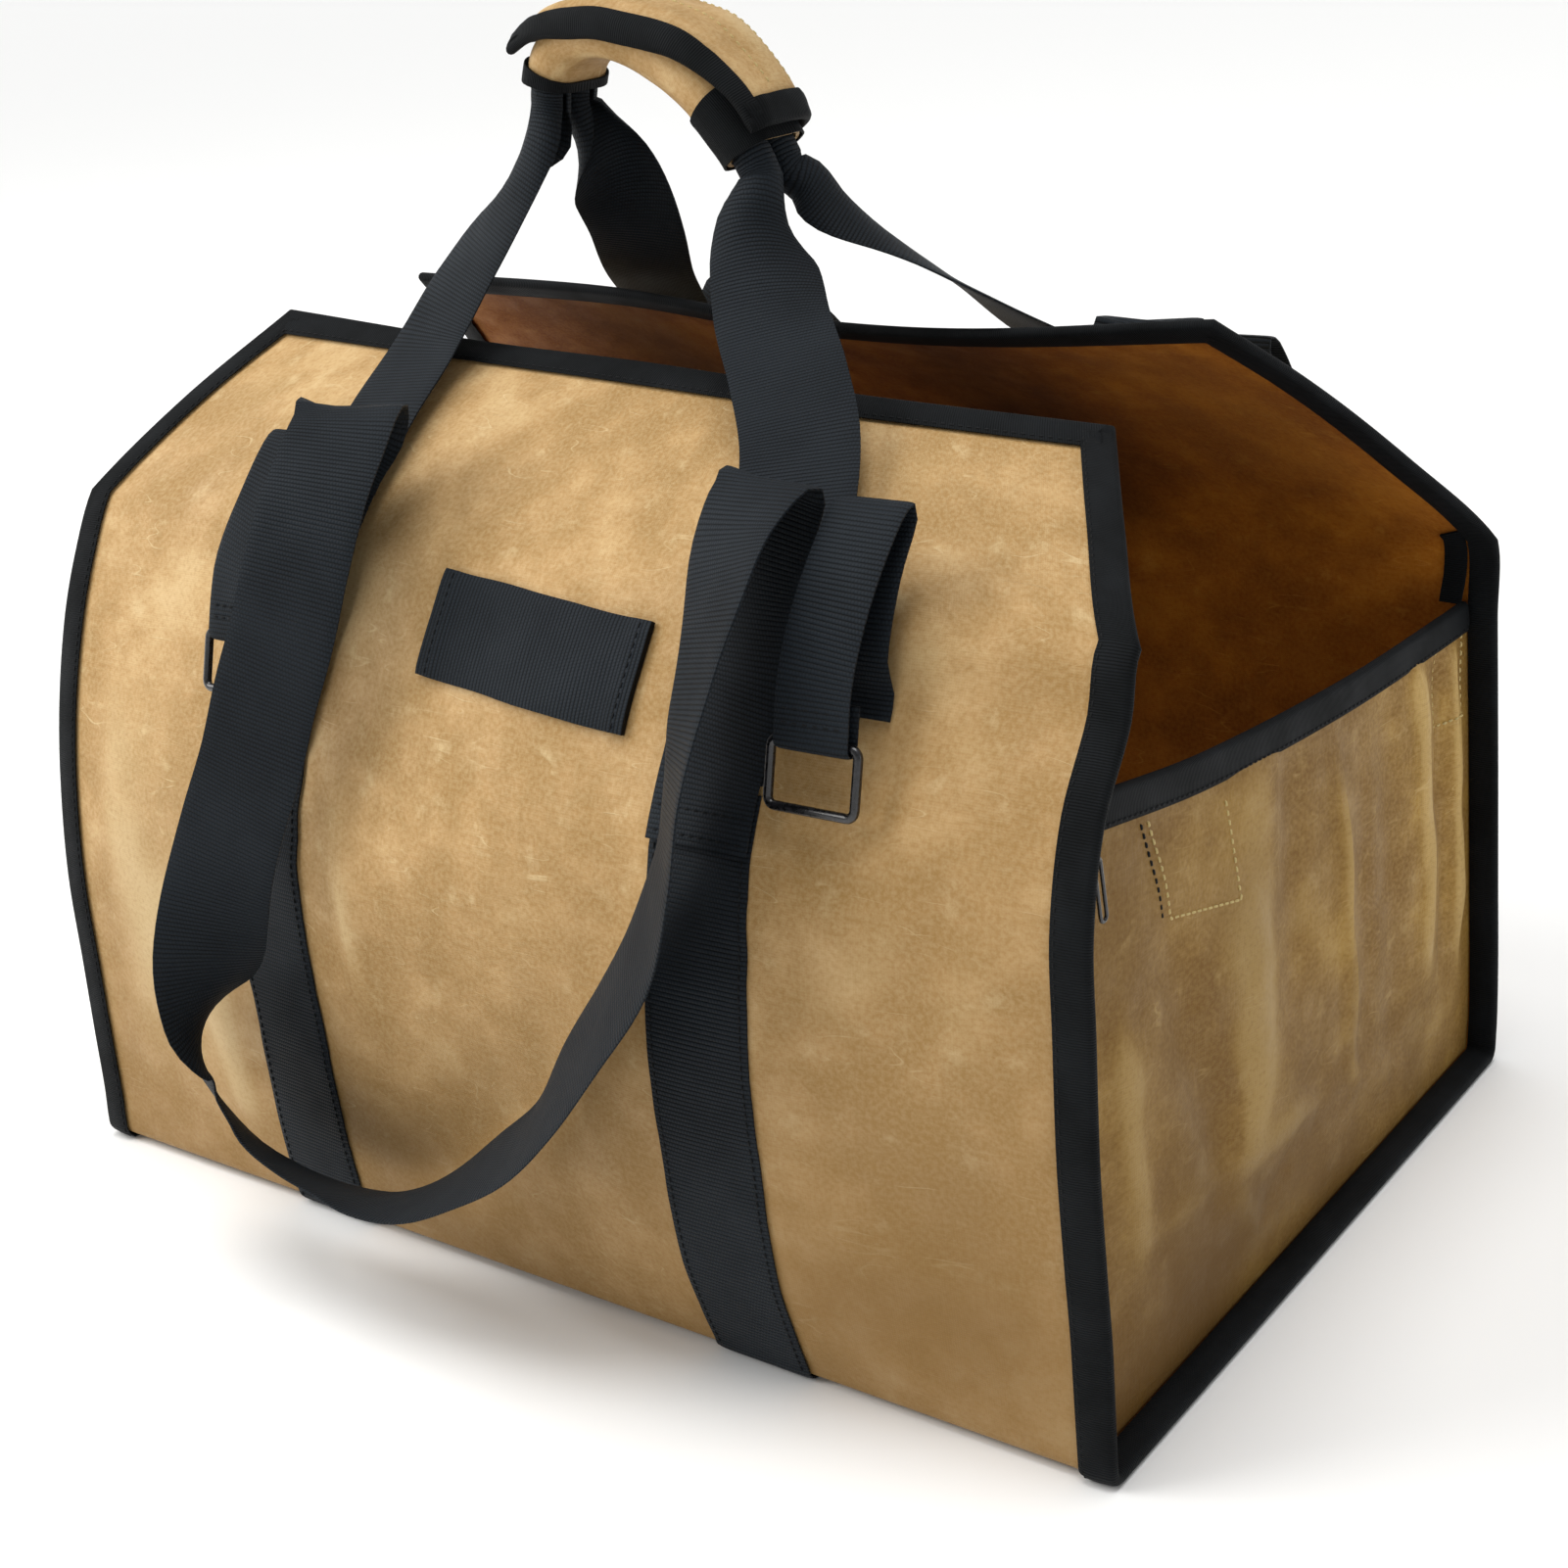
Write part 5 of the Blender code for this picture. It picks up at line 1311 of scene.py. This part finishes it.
def spaced(points, turns, rolls, step, tips=None):
    """Rows no further apart than step along a smooth curve through a route's points."""
    points = np.array(points, float)
    tips = np.zeros(len(points)) if tips is None else tips
    rows = np.column_stack([points, turns, rolls, tips])
    places = steps_along(points)
    return np.array([blend(places, rows, place) for place in even_steps(list(places), step)])


def tangents(points):
    """Directions of a line at its points."""
    ahead = np.vstack([points[1:], points[-1:]])
    behind = np.vstack([points[:1], points[:-1]])
    return unit(ahead - behind)


def ribbon_grid(rows, width, places, bend=1):
    """Grid and normals of webbing along rows of point, turn, roll and tip."""
    points = rows[:, :3]
    along = tangents(points)
    grid = []
    normals = []
    for point, ahead, (turn, roll, tip) in zip(points, along, rows[:, 3:]):
        across = np.array([math.cos(math.radians(turn)), math.sin(math.radians(turn)), 0.0])
        across = unit(across - ahead * across.dot(ahead))
        face = np.cross(ahead, across)
        lean = math.radians(tip)
        across = across * math.cos(lean) + face * math.sin(lean)
        face = np.cross(ahead, across)
        curl = max(FULL_ROLL * roll, LEAST_CURL)
        radius = width / curl
        drop = radius * (1 - math.sin(curl / 2) / (curl / 2))
        angle = (curl * places)[:, None]
        away = radius * (1 - np.cos(angle)) - drop
        grid.append(point + across * radius * np.sin(angle) + face * bend * away)
        normals.append(face * np.cos(angle) - across * bend * np.sin(angle))
    return np.array(grid), np.array(normals)


def ribbon(name, rows, width, node, seed, bend=1, wave=0.0005):
    """Webbing along rows, with softened edges and a slight wave; returns its grid too."""
    places, half = strap_profile(RIBBON_COLUMNS)
    grid, normals = ribbon_grid(rows, width, places, bend)
    along = steps_along(rows[:, :3])
    lift = wave * ripples(places[None, :] * width * 0.6, along[:, None], 0.034, seed)
    flat = 1 - smooth(0.0, 0.3, rows[:, 4])[:, None]
    grid = grid + normals * (lift * flat)[..., None]
    both = np.broadcast_to(half, grid.shape[:2])
    obj = cloth(name, grid, normals, -both, both, places * width, along, (WEB,))
    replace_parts(obj, node)
    return obj, grid, normals, float(along[-1])


def grip_rows():
    """Middle line of the grip as points, one for each row of the arch's table."""
    return np.array([(across * HALF_STRAPS, 0.0, height * BODY_HEIGHT)
                     for across, height in GRIP_ARCH])


def short_handle(name, node, side, left, right):
    """Free webbing from the left sewn end through the grip to the right sewn end."""
    lift = SOFT_GAP + WEBBING / 2
    legs = []
    for across, table in ((-HALF_STRAPS, left), (HALF_STRAPS, right)):
        points, turns, rolls = free_rows(table, side, free_point)
        lying, angles = lying_rows(side, (across, across), SEWN_HEIGHT + STITCH_GAP, lift)
        flat = [0.0] * len(lying)
        if across < 0:
            points = lying + points
            turns = angles + turns
            rolls = flat + rolls
        else:
            points = points + lying[::-1]
            turns = turns + [angle + side * 180 for angle in reversed(angles)]
            rolls = rolls + flat
        legs.append((points, turns, rolls))
    arch = grip_rows()
    arch[:, 1] = side * ROLL_SPACING
    turn = side * 90.0
    steps = steps_along(arch)
    middle = np.array([(*blend(steps, arch, s), turn, 1.0, 0.0)
                       for s in even_steps(list(steps), RIBBON_STEP)])
    points, turns, rolls = legs[0]
    first = spaced(points + [arch[0]], turns + [turn], rolls + [1.0], RIBBON_STEP)
    points, turns, rolls = legs[1]
    final = spaced([arch[-1]] + points, [turn] + turns, [1.0] + rolls, RIBBON_STEP)
    rows = np.vstack([first[:-1], middle, final[1:]])
    return ribbon(name, rows, WEB_WIDTH, node, 51 + side, bend=-side, wave=0.0004)


def shoulder_handle(name, node, side):
    """Long loop, sewn over the straps, folded forward at the top and hanging down."""
    lift = GAP + WEBBING + HANDLE_GAP + WEBBING / 2
    points, turns, tips = free_rows(LOOP_FREE, side, hung_point)
    low = SEWN_HEIGHT - SEWN_OVERLAP
    left, left_turns = lying_rows(side, (-HALF_STRAPS, points[0][0]), low, lift,
                                  LOOP_LOOSENESS)
    right, right_turns = lying_rows(side, (HALF_STRAPS, points[-1][0]), low, lift,
                                    LOOP_LOOSENESS)
    route = left + points + right[::-1]
    angles = left_turns + turns + [turn - side * 180 for turn in reversed(right_turns)]
    leans = [0.0] * len(left) + [side * tip for tip in tips] + [0.0] * len(right)
    rows = spaced(route, angles, [0.0] * len(route), RIBBON_STEP, leans)
    return ribbon(name, rows, WEB_WIDTH, node, 61 + side)


def ring_strap(place, hand, side, seam, lift, looseness, table):
    """Strap that folds over beside the handle and holds a ring, sewn on from a height up."""
    route = [hung_point(*row, side) for row in table]
    across = (route[0][0], route[0][0])
    lying, angles = lying_rows(side, across, seam, lift + WEBBING / 2, looseness)
    points = np.array(lying + route)
    turns = np.array(angles + [0.0] * len(route))
    top = points[-1]
    down = unit(points[-1] - points[-2])
    behind = -side * TO_BACK
    behind = unit(behind - down * behind.dot(down))
    turn_radius = RING_WIRE / 2 + GAP + WEBBING / 2
    bar = top + behind * turn_radius
    rows = spaced(points, turns, np.zeros(len(points)), RIBBON_STEP)
    bend = []
    for turn in np.radians(range(18, 181, 18)):
        bend.append(bar + turn_radius * (down * math.sin(turn) - behind * math.cos(turn)))
    bend += [bend[-1] - down * step for step in RING_HEM_STEPS]
    rows = np.vstack([rows] + [(*point, 0.0, 0.0, 0.0) for point in bend])
    end = place + "_" + hand
    obj, _, _, length = ribbon("webbing_ring_" + end, rows, RING_WEB, "ring_strap_" + end,
                               71 + side, wave=0.0003)
    ring = wire_ring("ring_" + end, bar, np.cross(down, -behind), down)
    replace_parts(ring, "wire_ring_" + end)
    out = -behind
    wide = np.cross(down, out)
    seams = []
    for above in RING_SEAMS:
        middle = top - down * above + out * (WEBBING / 2)
        seams.append([(middle + wide * s, out)
                      for s in np.linspace(-RING_SEAM_REACH, RING_SEAM_REACH, 12)])
    return obj, ring, seams, length


def wire_ring(name, top, across, down):
    """Rectangular wire ring with round corners, its top bar's middle at top."""
    wide = (RING_WIDTH - RING_WIRE) / 2 - RING_CORNER
    high = (RING_HEIGHT - RING_WIRE) / 2 - RING_CORNER
    centre = top + down * (high + RING_CORNER)
    face = np.cross(across, down)
    sections = []
    round_it = circle(16)
    for x, z, first in ((wide, high, 0), (-wide, high, 90), (-wide, -high, 180),
                        (wide, -high, 270)):
        for step in range(7):
            angle = math.radians(first + 15 * step)
            out = across * math.cos(angle) + down * math.sin(angle)
            middle = centre + across * x + down * z + out * RING_CORNER
            sections.append([middle + RING_WIRE / 2 * (out * math.cos(a) + face * math.sin(a))
                             for a in round_it])
    around = np.arange(len(round_it)) * RING_WIRE * 0.2
    along = steps_along(np.array([section[0] for section in sections]))
    return skin(name, sections, around, along, (METAL,), closed=True)


def upward(line):
    """Directions at right angles to a line in X and Z, each on its upper side."""
    up = unit(np.cross(tangents(line), TO_BACK))
    return up * np.sign(up[:, 2:3])


def grip_tube(name, node, first, last, radius, thick, wrinkle, material, columns):
    """Tube round both rolled handles between two rows of the arch, with wrinkled walls."""
    arch = grip_rows()
    ups = upward(arch)
    centres = arch - ups * ROLL_DROP
    places = np.arange(len(centres), dtype=float)
    rows = np.linspace(first, last, columns)
    spine = np.array([blend(places, centres, row) for row in rows])
    up = unit(np.array([blend(places, ups, row) for row in rows]))
    grid = []
    normals = []
    around = []
    for centre, start_angle in ((ROLL_SPACING, -90), (-ROLL_SPACING, 90)):
        for i in range(HALF_ROUND + 1):
            angle = math.radians(start_angle + 180 * i / HALF_ROUND)
            out = TO_BACK * math.cos(angle) + up * math.sin(angle)
            grid.append(spine + TO_BACK * centre + out * (radius + thick / 2))
            normals.append(out)
            around.append(angle)
        for t in (0.33, 0.67):
            flat = centre * (1 - 2 * t)
            high = math.copysign(1.0, centre)
            grid.append(spine + TO_BACK * flat + up * high * (radius + thick / 2))
            normals.append(up * high)
            around.append(math.radians(start_angle + 180))
    grid = np.array(grid)
    normals = np.array(normals)
    along = steps_along(spine)
    turned = np.array(around)[:, None]
    # Fine wrinkles cross the sleeve, and broader lumps run along it.
    lump = wrinkle * (0.5 + 0.5 * ripples(turned * 1.3, along[None, :], 0.013, 81)
                      + 0.6 * ripples(turned * 0.9, along[None, :], 0.6, 82))
    lump = np.clip(lump, 0.0, None)
    grid = grid + normals * lump[..., None]
    # How much of a crest each point is: its ridges are paler, and painted shade darkens its
    # hollows.
    ridge = 0.35 + 0.5 * lump / wrinkle
    half = np.full(grid.shape[:2], thick / 2)
    obj = cloth(name, grid, normals, -half, half, along,
                np.arange(len(around)) * SLEEVE_STEP, (material,), closed=True, ridge=ridge)
    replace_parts(obj, node)
    return obj, float(along[-1]), 4 * ROLL_SPACING + 2 * math.pi * (radius + thick / 2)


def flap_surface(radius, rows, angles):
    """Inner face of the flap and its normals at rows of its table and angles round it."""
    line = np.array([(across * HALF_STRAPS, 0.0, height * BODY_HEIGHT)
                     for across, height, _ in GRIP_FLAP])
    wraps = np.array([wrap for _, _, wrap in GRIP_FLAP])
    ups = upward(line)
    places = np.arange(len(line), dtype=float)
    grid = []
    normals = []
    for row in rows:
        centre = blend(places, line, row)
        high = unit(blend(places, ups, row))
        wrap = float(blend(places, wraps, row))
        row_points = []
        row_normals = []
        for angle in angles:
            turn = math.radians(angle * wrap if angle < 0 else angle)
            shift = ROLL_SPACING * float(np.clip(angle / FLAP_FLAT, -1.0, 1.0))
            row_points.append(centre + TO_BACK * (shift + radius * math.sin(turn))
                              + high * radius * (math.cos(turn) - 1))
            row_normals.append(unit(TO_BACK * math.sin(turn) + high * math.cos(turn)))
        grid.append(row_points)
        normals.append(row_normals)
    return np.array(grid), np.array(normals)


def grip_flap():
    """Canvas flap over the grip, the tape round three of its edges and its sewing lines."""
    radius = SLEEVE_INNER + CANVAS + 2 * (TAPE_GAP + TAPE) + GAP
    rows = np.linspace(0.0, len(GRIP_FLAP) - 1.0, FLAP_GRID[0])
    angles = np.linspace(*FLAP_ENDS, FLAP_GRID[1])
    grid, normals = flap_surface(radius, rows, angles)
    along = steps_along(grid[:, FLAP_MEASURED[1]])
    across = steps_along(grid[FLAP_MEASURED[0]])
    # Long wrinkles run along the flap, with broader swells, and both fade under its tape.
    long_lines = ripples(across[None, :], along[:, None] * 0.15, 0.006, 91)
    swell = 0.0007 * long_lines + 0.0008 * ripples(across[None, :], along[:, None], 0.022, 92)
    rim = smooth(0.0, 0.016, across)[None, :] * smooth(0.0, 0.02, along)[:, None]
    rim = rim * smooth(along[-1], along[-1] - 0.02, along)[:, None]
    swell = (swell + 0.0006) * rim
    grid = grid + normals * swell[..., None]
    thick = np.full(swell.shape, CANVAS)
    obj = cloth("canvas_flap", grid, normals, 0 * thick, thick, across, along,
                (CLOTH, CLOTH_INSIDE_PAINTED_SHADE), ridge=ridges(swell, 0.003))
    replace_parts(obj, "grip_flap")
    face = grid + normals * CANVAS

    lines = []

    def station(row, column, row_step, column_step):
        edge = face[row, column]
        legs = []
        for part in (1.0, 0.75, 0.5, 0.25):
            far = face[row + row_step * FLAP_REACH, column + column_step * FLAP_REACH]
            share = min(FLAP_TAPE * part / np.linalg.norm(far - edge), 1.0) * FLAP_REACH
            k = int(share)
            t = share - k
            k2 = min(k + 1, FLAP_REACH)
            a = (row + row_step * k, column + column_step * k)
            b = (row + row_step * k2, column + column_step * k2)
            legs.append((face[a] * (1 - t) + face[b] * t,
                         unit(normals[a] * (1 - t) + normals[b] * t)))
        inside = face[row + row_step, column + column_step]
        outward = unit(edge - inside)
        if row_step and column_step:
            outward = unit(edge - face[row + row_step, column])
            outward += unit(edge - face[row, column + column_step])
        lines.append(wrapped(edge, legs, legs, normals[row, column], outward, CANVAS))

    last_row = FLAP_GRID[0] - 1
    last_column = FLAP_GRID[1] - 1
    for column in range(last_column, 0, -1):
        station(0, column, 1, 0)
    station(0, 0, 1, 1)
    for row in range(1, last_row):
        station(row, 0, 0, 1)
    station(last_row, 0, -1, 1)
    for column in range(1, last_column + 1):
        station(last_row, column, -1, 0)
    tape = bind("binding_flap", lines, False)
    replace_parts(tape, "grip_binding")
    seams = [[(face[row, column], normals[row, column]) for row in FLAP_SEAM_ROWS]
             for column in FLAP_SEAM_COLUMNS]
    return obj, tape, seams, float(along[-1]), float(across[-1])


def webbing_tab():
    """Flat webbing tab sewn across the middle of the front, its ends turned under."""
    lean = math.radians(TAB_LEAN)
    places, half = strap_profile(STRAP_COLUMNS)
    steps = np.linspace(-0.5, 0.5, TAB_ROWS)
    grid = []
    normals = []
    for across in steps:
        middle_x = TAB_ACROSS * HALF_STRAPS + across * TAB_LENGTH * math.cos(lean)
        length = length_at(FRONT, middle_x / HALF_WIDTH, TAB_HEIGHT * BODY_HEIGHT)
        row = []
        row_normals = []
        for down in places:
            x = middle_x - down * TAB_WIDTH * math.sin(lean)
            drop = down * TAB_WIDTH + across * TAB_LENGTH * math.sin(lean)
            point, normal = facet(x / HALF_WIDTH, length + drop)
            row.append(point)
            row_normals.append(normal)
        grid.append(row)
        normals.append(row_normals)
    grid = np.array(grid)
    normals = np.array(normals)
    hem = smooth(0.40, 0.42, np.abs(steps))[:, None]
    high = SOFT_GAP + WEBBING / 2 + half[None, :] + TAB_HEM * hem
    low = np.full(high.shape, SOFT_GAP)
    obj = cloth("webbing_tab_front", grid, normals, low, high, places * TAB_WIDTH,
                (steps + 0.5) * TAB_LENGTH, (WEB,))
    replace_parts(obj, "webbing_tab")
    face = grid + normals * high[..., None]
    seams = [[(face[row, column], normals[row, column]) for column in range(1, STRAP_COLUMNS - 1)]
             for row in TAB_SEAM_ROWS]
    return obj, seams


def zip_slider(hand, end):
    """Slider at the top front corner of an end and the looped pull that hangs from it."""
    corner = end_corner(end, FRONT) - END_TAPE
    forward = profile_y(end, FRONT, corner) + SLIDER_SETBACK + SLIDER_WIDTH / 2
    top = end_height(forward + SLIDER_WIDTH / 2) - END_TAPE - SLIDER_DROP
    height = top - SLIDER_LENGTH / 2
    face = END_FACE + SOFT_GAP
    sections = []
    round_it = circle(18)

    def squared(value):
        return math.copysign(abs(value) ** SLIDER_ROUNDNESS, value)

    for z, wide, deep in SLIDER_SHAPE:
        loop = []
        for a in round_it:
            x = squared(math.cos(a)) * SLIDER_DEPTH / 2 * deep
            y = squared(math.sin(a)) * SLIDER_WIDTH / 2 * wide
            loop.append((end * (face + SLIDER_DEPTH / 2 * 0.8 + x), forward + y,
                         height + z * SLIDER_LENGTH / 2))
        sections.append(loop)
    slider = skin("slider_" + hand, sections, np.arange(len(round_it)) * 0.0015,
                  np.arange(len(SLIDER_SHAPE)) * 0.002, (METAL,))
    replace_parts(slider, "zip_slider_" + hand)
    lean = math.radians(PULL_LEAN)
    centre = np.array([end * (face + SLIDER_DEPTH + GAP + PULL_DEPTH / 2), forward,
                       height + SLIDER_LENGTH / 4 - PULL_LENGTH / 2])
    wire = PULL_DEPTH / 2
    wide = PULL_WIDTH / 2 - wire
    tall = PULL_LENGTH / 2 - PULL_WIDTH / 2
    path = []
    for middle, first in ((tall, 0), (-tall, 180)):
        for step in range(9):
            a = math.radians(first + 22.5 * step)
            path.append((wide * math.cos(a), middle + wide * math.sin(a), a))
    loops = []
    for y, z, a in path:
        turned_y = y * math.cos(lean) - z * math.sin(lean)
        turned_z = y * math.sin(lean) + z * math.cos(lean)
        away = np.array([0.0, math.cos(a + lean), math.sin(a + lean)])
        middle = centre + np.array([0.0, turned_y, turned_z])
        loops.append([middle + wire * (away * math.cos(t) + TO_RIGHT * math.sin(t))
                      for t in circle(10)])
    pull = skin("pull_" + hand, loops, np.arange(len(loops[0])) * 0.0005,
                steps_along(np.array([loop[0] for loop in loops])), (METAL,), closed=True)
    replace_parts(pull, "zip_pull_" + hand)


def corner_tape():
    """Loose tape end that lies inside the back at the right corner."""
    lift = CANVAS + SOFT_GAP + TAPE / 2
    across = END_FACE - CORNER_TAIL_WIDTH / 2
    low = end_corner(1, BACK) + TAPE + SOFT_GAP
    rows = []
    for share in np.linspace(0.0, 1.0, 12):
        curl = float(np.interp(share, *np.array(CORNER_CURL).T))
        length = length_at(BACK, across / HALF_WIDTH, low + share * CORNER_TAIL_LENGTH)
        point, turn = sewn_row(across / HALF_WIDTH, length, -lift - curl)
        rows.append((*point, turn, 0.0, 0.0))
    rows = np.array(rows)
    places = np.linspace(-0.5, 0.5, 8)
    grid, normals = ribbon_grid(rows, CORNER_TAIL_WIDTH, places)
    half = np.full(grid.shape[:2], TAPE / 2)
    obj = cloth("tape_corner", grid, normals, -half, half, places * CORNER_TAIL_WIDTH,
                steps_along(rows[:, :3]), (BINDING,))
    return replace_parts(obj, "corner_tape"), float(steps_along(rows[:, :3])[-1])


def stitches(name, seams, material, closed=False, thread=THREAD):
    """Rows of short stitches along lines of point and normal pairs, slightly sunk."""
    centres = []
    behind = []
    outs = []
    for seam in seams:
        points = np.array([point for point, _ in seam])
        facing = np.array([normal for _, normal in seam])
        if closed:
            points = np.vstack([points, points[:1]])
            facing = np.vstack([facing, facing[:1]])
        lengths = steps_along(points)
        count = max(int(lengths[-1] / STITCH_PITCH), 1)
        stops = (np.arange(count) + 0.5) * lengths[-1] / count
        behind.append(read_along(stops - STITCH_LENGTH / 2, lengths, points))
        centres.append(read_along(stops, lengths, points))
        outs.append(unit(read_along(stops, lengths, facing)))
    centres = np.concatenate(centres)
    outs = np.concatenate(outs)
    ahead = unit(centres - np.concatenate(behind) + 1e-9)
    ahead = unit(ahead - outs * np.sum(ahead * outs, -1, keepdims=True))
    wide = np.cross(ahead, outs)
    vertices = []
    for along, size, sink in STITCH_SHAPE:
        for a in circle(STITCH_SIDES):
            place = centres + ahead * along * STITCH_LENGTH / 2
            place = place + wide * thread * size * math.cos(a)
            vertices.append(place + outs * thread * (size * math.sin(a) + sink))
    vertices = np.stack(vertices, 1)
    single = []
    for first in range(0, STITCH_SIDES * (len(STITCH_SHAPE) - 1), STITCH_SIDES):
        for i in range(STITCH_SIDES):
            a = first + i
            b = first + (i + 1) % STITCH_SIDES
            single.append([a, b, b + STITCH_SIDES, a + STITCH_SIDES])
    starts = np.arange(len(centres)) * STITCH_SIDES * len(STITCH_SHAPE)
    faces = (np.array(single)[None] + starts[:, None, None]).reshape(-1, 4)
    mesh = bpy.data.meshes.new(name)
    mesh.from_pydata(vertices.reshape(-1, 3).tolist(), [], faces.tolist())
    u = np.tile(np.array([0, 1, 1, 0]) * 0.0004, len(faces))
    v = np.tile(np.array([0, 0, 1, 1]) * 0.001, len(faces))
    mesh.uv_layers.new(name="UVMap").data.foreach_set("uv", np.stack([u, v], -1).ravel())
    mesh.materials.append(material)
    mesh.shade_smooth()
    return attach(placed(name, mesh), "root")


def across_seam(grid, normals, row, sign):
    """A stitch line across webbing at a row of its grid, on one of its faces."""
    return [(grid[row, c] + sign * normals[row, c] * WEBBING / 2, sign * normals[row, c])
            for c in range(2, grid.shape[1] - 2)]


body = body_canvas()
body_tape, body_seam = edge_binding()
stitch_black = stitches("stitches_binding", [body_seam], THREAD_BLACK, closed=True)

for hand, end in (("right", 1), ("left", -1)):
    panel, tape, seam, flat, area = end_panel(hand, end)
    sewn = stitches("stitches_end_" + hand, [panel_line(end, mark) for mark in POCKET_SEAMS],
                    THREAD_TAN, thread=HEAVY_THREAD)
    dark = stitches("stitches_end_tape_" + hand, [seam, panel_line(end, DARK_SEAM)],
                    THREAD_BLACK, thread=HEAVY_THREAD)

for hand, side in (("right", 1), ("left", -1)):
    strap, seams, length = carry_webbing(hand, side)
    sewn = stitches("stitches_carry_" + hand, seams, THREAD_BLACK)

for place, side, left, right in (("front", FRONT, HANDLE_LEFT_FRONT, HANDLE_RIGHT_FRONT),
                                 ("back", BACK, HANDLE_LEFT_BACK, HANDLE_RIGHT_BACK)):
    strap, _, _, length = short_handle("webbing_handle_" + place, place + "_handle", side,
                                       left, right)
    loop, grid, normals, length = shoulder_handle("webbing_loop_" + place,
                                                  "shoulder_handle_" + place, side)
    sign = 1.0 if normals[2, 8, 1] * side > 0 else -1.0
    last = len(grid) - 1
    lines = [across_seam(grid, normals, row, sign) for row in (1, 3)]
    lines += [across_seam(grid, normals, row, sign) for row in (last - 1, last - 3)]
    sewn = stitches("stitches_loop_" + place, lines, THREAD_BLACK)
    for hand, low, lift, looseness, table in (
            ("right", RING_SEWN_HEIGHT, SOFT_GAP, RING_LOOSENESS[1], RING_STRAP_RIGHT),
            ("left", SEWN_HEIGHT - SEWN_OVERLAP, GAP + 2 * WEBBING + STRAP_GAP,
             RING_LOOSENESS[0], RING_STRAP_LEFT)):
        strap, ring, seams, length = ring_strap(place, hand, side, low, lift, looseness, table)
        sewn = stitches("stitches_ring_" + place + "_" + hand, seams, THREAD_BLACK)

last = len(GRIP_ARCH) - 2
sleeve, length, girth = grip_tube("canvas_sleeve", "grip_sleeve", 1, last, SLEEVE_INNER, CANVAS,
                                  SLEEVE_WRINKLE, CLOTH, 60)
bands = [grip_tube("band_" + name, "grip_band_" + name, first, final,
                   SLEEVE_INNER + CANVAS + GAP + SLEEVE_WRINKLE, TAPE, BAND_WRINKLE, BINDING,
                   12)[0]
         for name, first, final in (("right", last - 2, last + BAND_OVERHANG),
                                    ("left", 1 - BAND_OVERHANG, 1.5))]
flap, tape, seams, length, girth = grip_flap()
sewn = stitches("stitches_flap", seams, THREAD_TAN)

tab, seams = webbing_tab()
sewn = stitches("stitches_tab", seams, THREAD_BLACK)
zip_slider("right", 1)
zip_slider("left", -1)
tail, length = corner_tape()


# Floor, light and camera

# Half the floor's width, far enough for its edge not to show.
FAR = 60
floor_mesh = bpy.data.meshes.new("studio_floor")
floor_mesh.from_pydata([(-FAR, -FAR, 0), (FAR, -FAR, 0), (FAR, FAR, 0), (-FAR, FAR, 0)], [],
                       [(0, 1, 2, 3)])
paper = bpy.data.materials.new("pale_paper")
paper.use_nodes = True
plug(paper.node_tree, paper.node_tree.nodes["Principled BSDF"],
     {"Base Color": linear("F6F6F5"), "Roughness": 0.85})
floor_mesh.materials.append(paper)
placed("studio_floor", floor_mesh)

# White at the horizon and softer above it, so that the floor runs into the sky.
SKY_HEIGHTS = (0.10, 0.34)
SKY_STRENGTHS = (0.96, 0.38)
world = bpy.data.worlds.new("soft_white")
world.use_nodes = True
sky = world.node_tree
height = add(sky, "SeparateXYZ", (add(sky, "TexCoord", output="Generated"),), "Z")
glow = add(sky, "MapRange", (height, *SKY_HEIGHTS, *SKY_STRENGTHS), interpolation_type=SOFT)
plug(sky, sky.nodes["Background"], {"Color": linear("FFFFFF"), "Strength": glow})
bpy.context.scene.world = world
bpy.context.scene.view_settings.view_transform = "Standard"


def soft_light(name, place, target, size, power, colour):
    """A round lamp that faces a target, its size in metres and its power in watts."""
    light = bpy.data.lights.new(name, "AREA")
    light.shape = "DISK"
    light.size = size
    light.energy = power
    light.color = colour
    lamp = placed(name, light)
    lamp.location = place
    direction = Vector(target) - Vector(place)
    lamp.rotation_euler = direction.to_track_quat("-Z", "Y").to_euler()


soft_light("key", (-2.3, -1.7, 2.4), (0.0, 0.0, 0.2), 2.6, 92.0, (1.0, 0.985, 0.96))
soft_light("fill", (2.8, 0.3, 1.2), (0.1, 0.0, 0.2), 1.2, 4.0, (0.97, 0.98, 1.0))
overhead = bpy.data.lights.new("overhead", "SUN")
overhead.energy = 2.0
overhead.angle = math.radians(40)
placed("overhead", overhead).location = (0.0, 0.0, 3.0)

# Where the camera stands: its angles, what it looks at and how far off it is.
AZIMUTH = math.radians(37.84)
ELEVATION = math.radians(21.23)
ROLL = math.radians(-5.12)
TARGET = np.array([0.0145, 0.0, 0.1788])
DISTANCE = 1.1944
away = np.array([math.sin(AZIMUTH) * math.cos(ELEVATION),
                 -math.cos(AZIMUTH) * math.cos(ELEVATION), math.sin(ELEVATION)])
level = np.array([math.cos(AZIMUTH), math.sin(AZIMUTH), 0.0])
upward = np.cross(away, level)
camera_x = level * math.cos(ROLL) + upward * math.sin(ROLL)
camera_y = upward * math.cos(ROLL) - level * math.sin(ROLL)
eye = TARGET + away * DISTANCE
lens = bpy.data.cameras.new("photo_camera")
lens.sensor_width = 36.0
lens.lens = 55.67
camera = placed("photo_camera", lens)
turned = np.column_stack([camera_x, camera_y, away, eye])
camera.matrix_world = Matrix([*turned.tolist(), (0.0, 0.0, 0.0, 1.0)])
bpy.context.scene.camera = camera
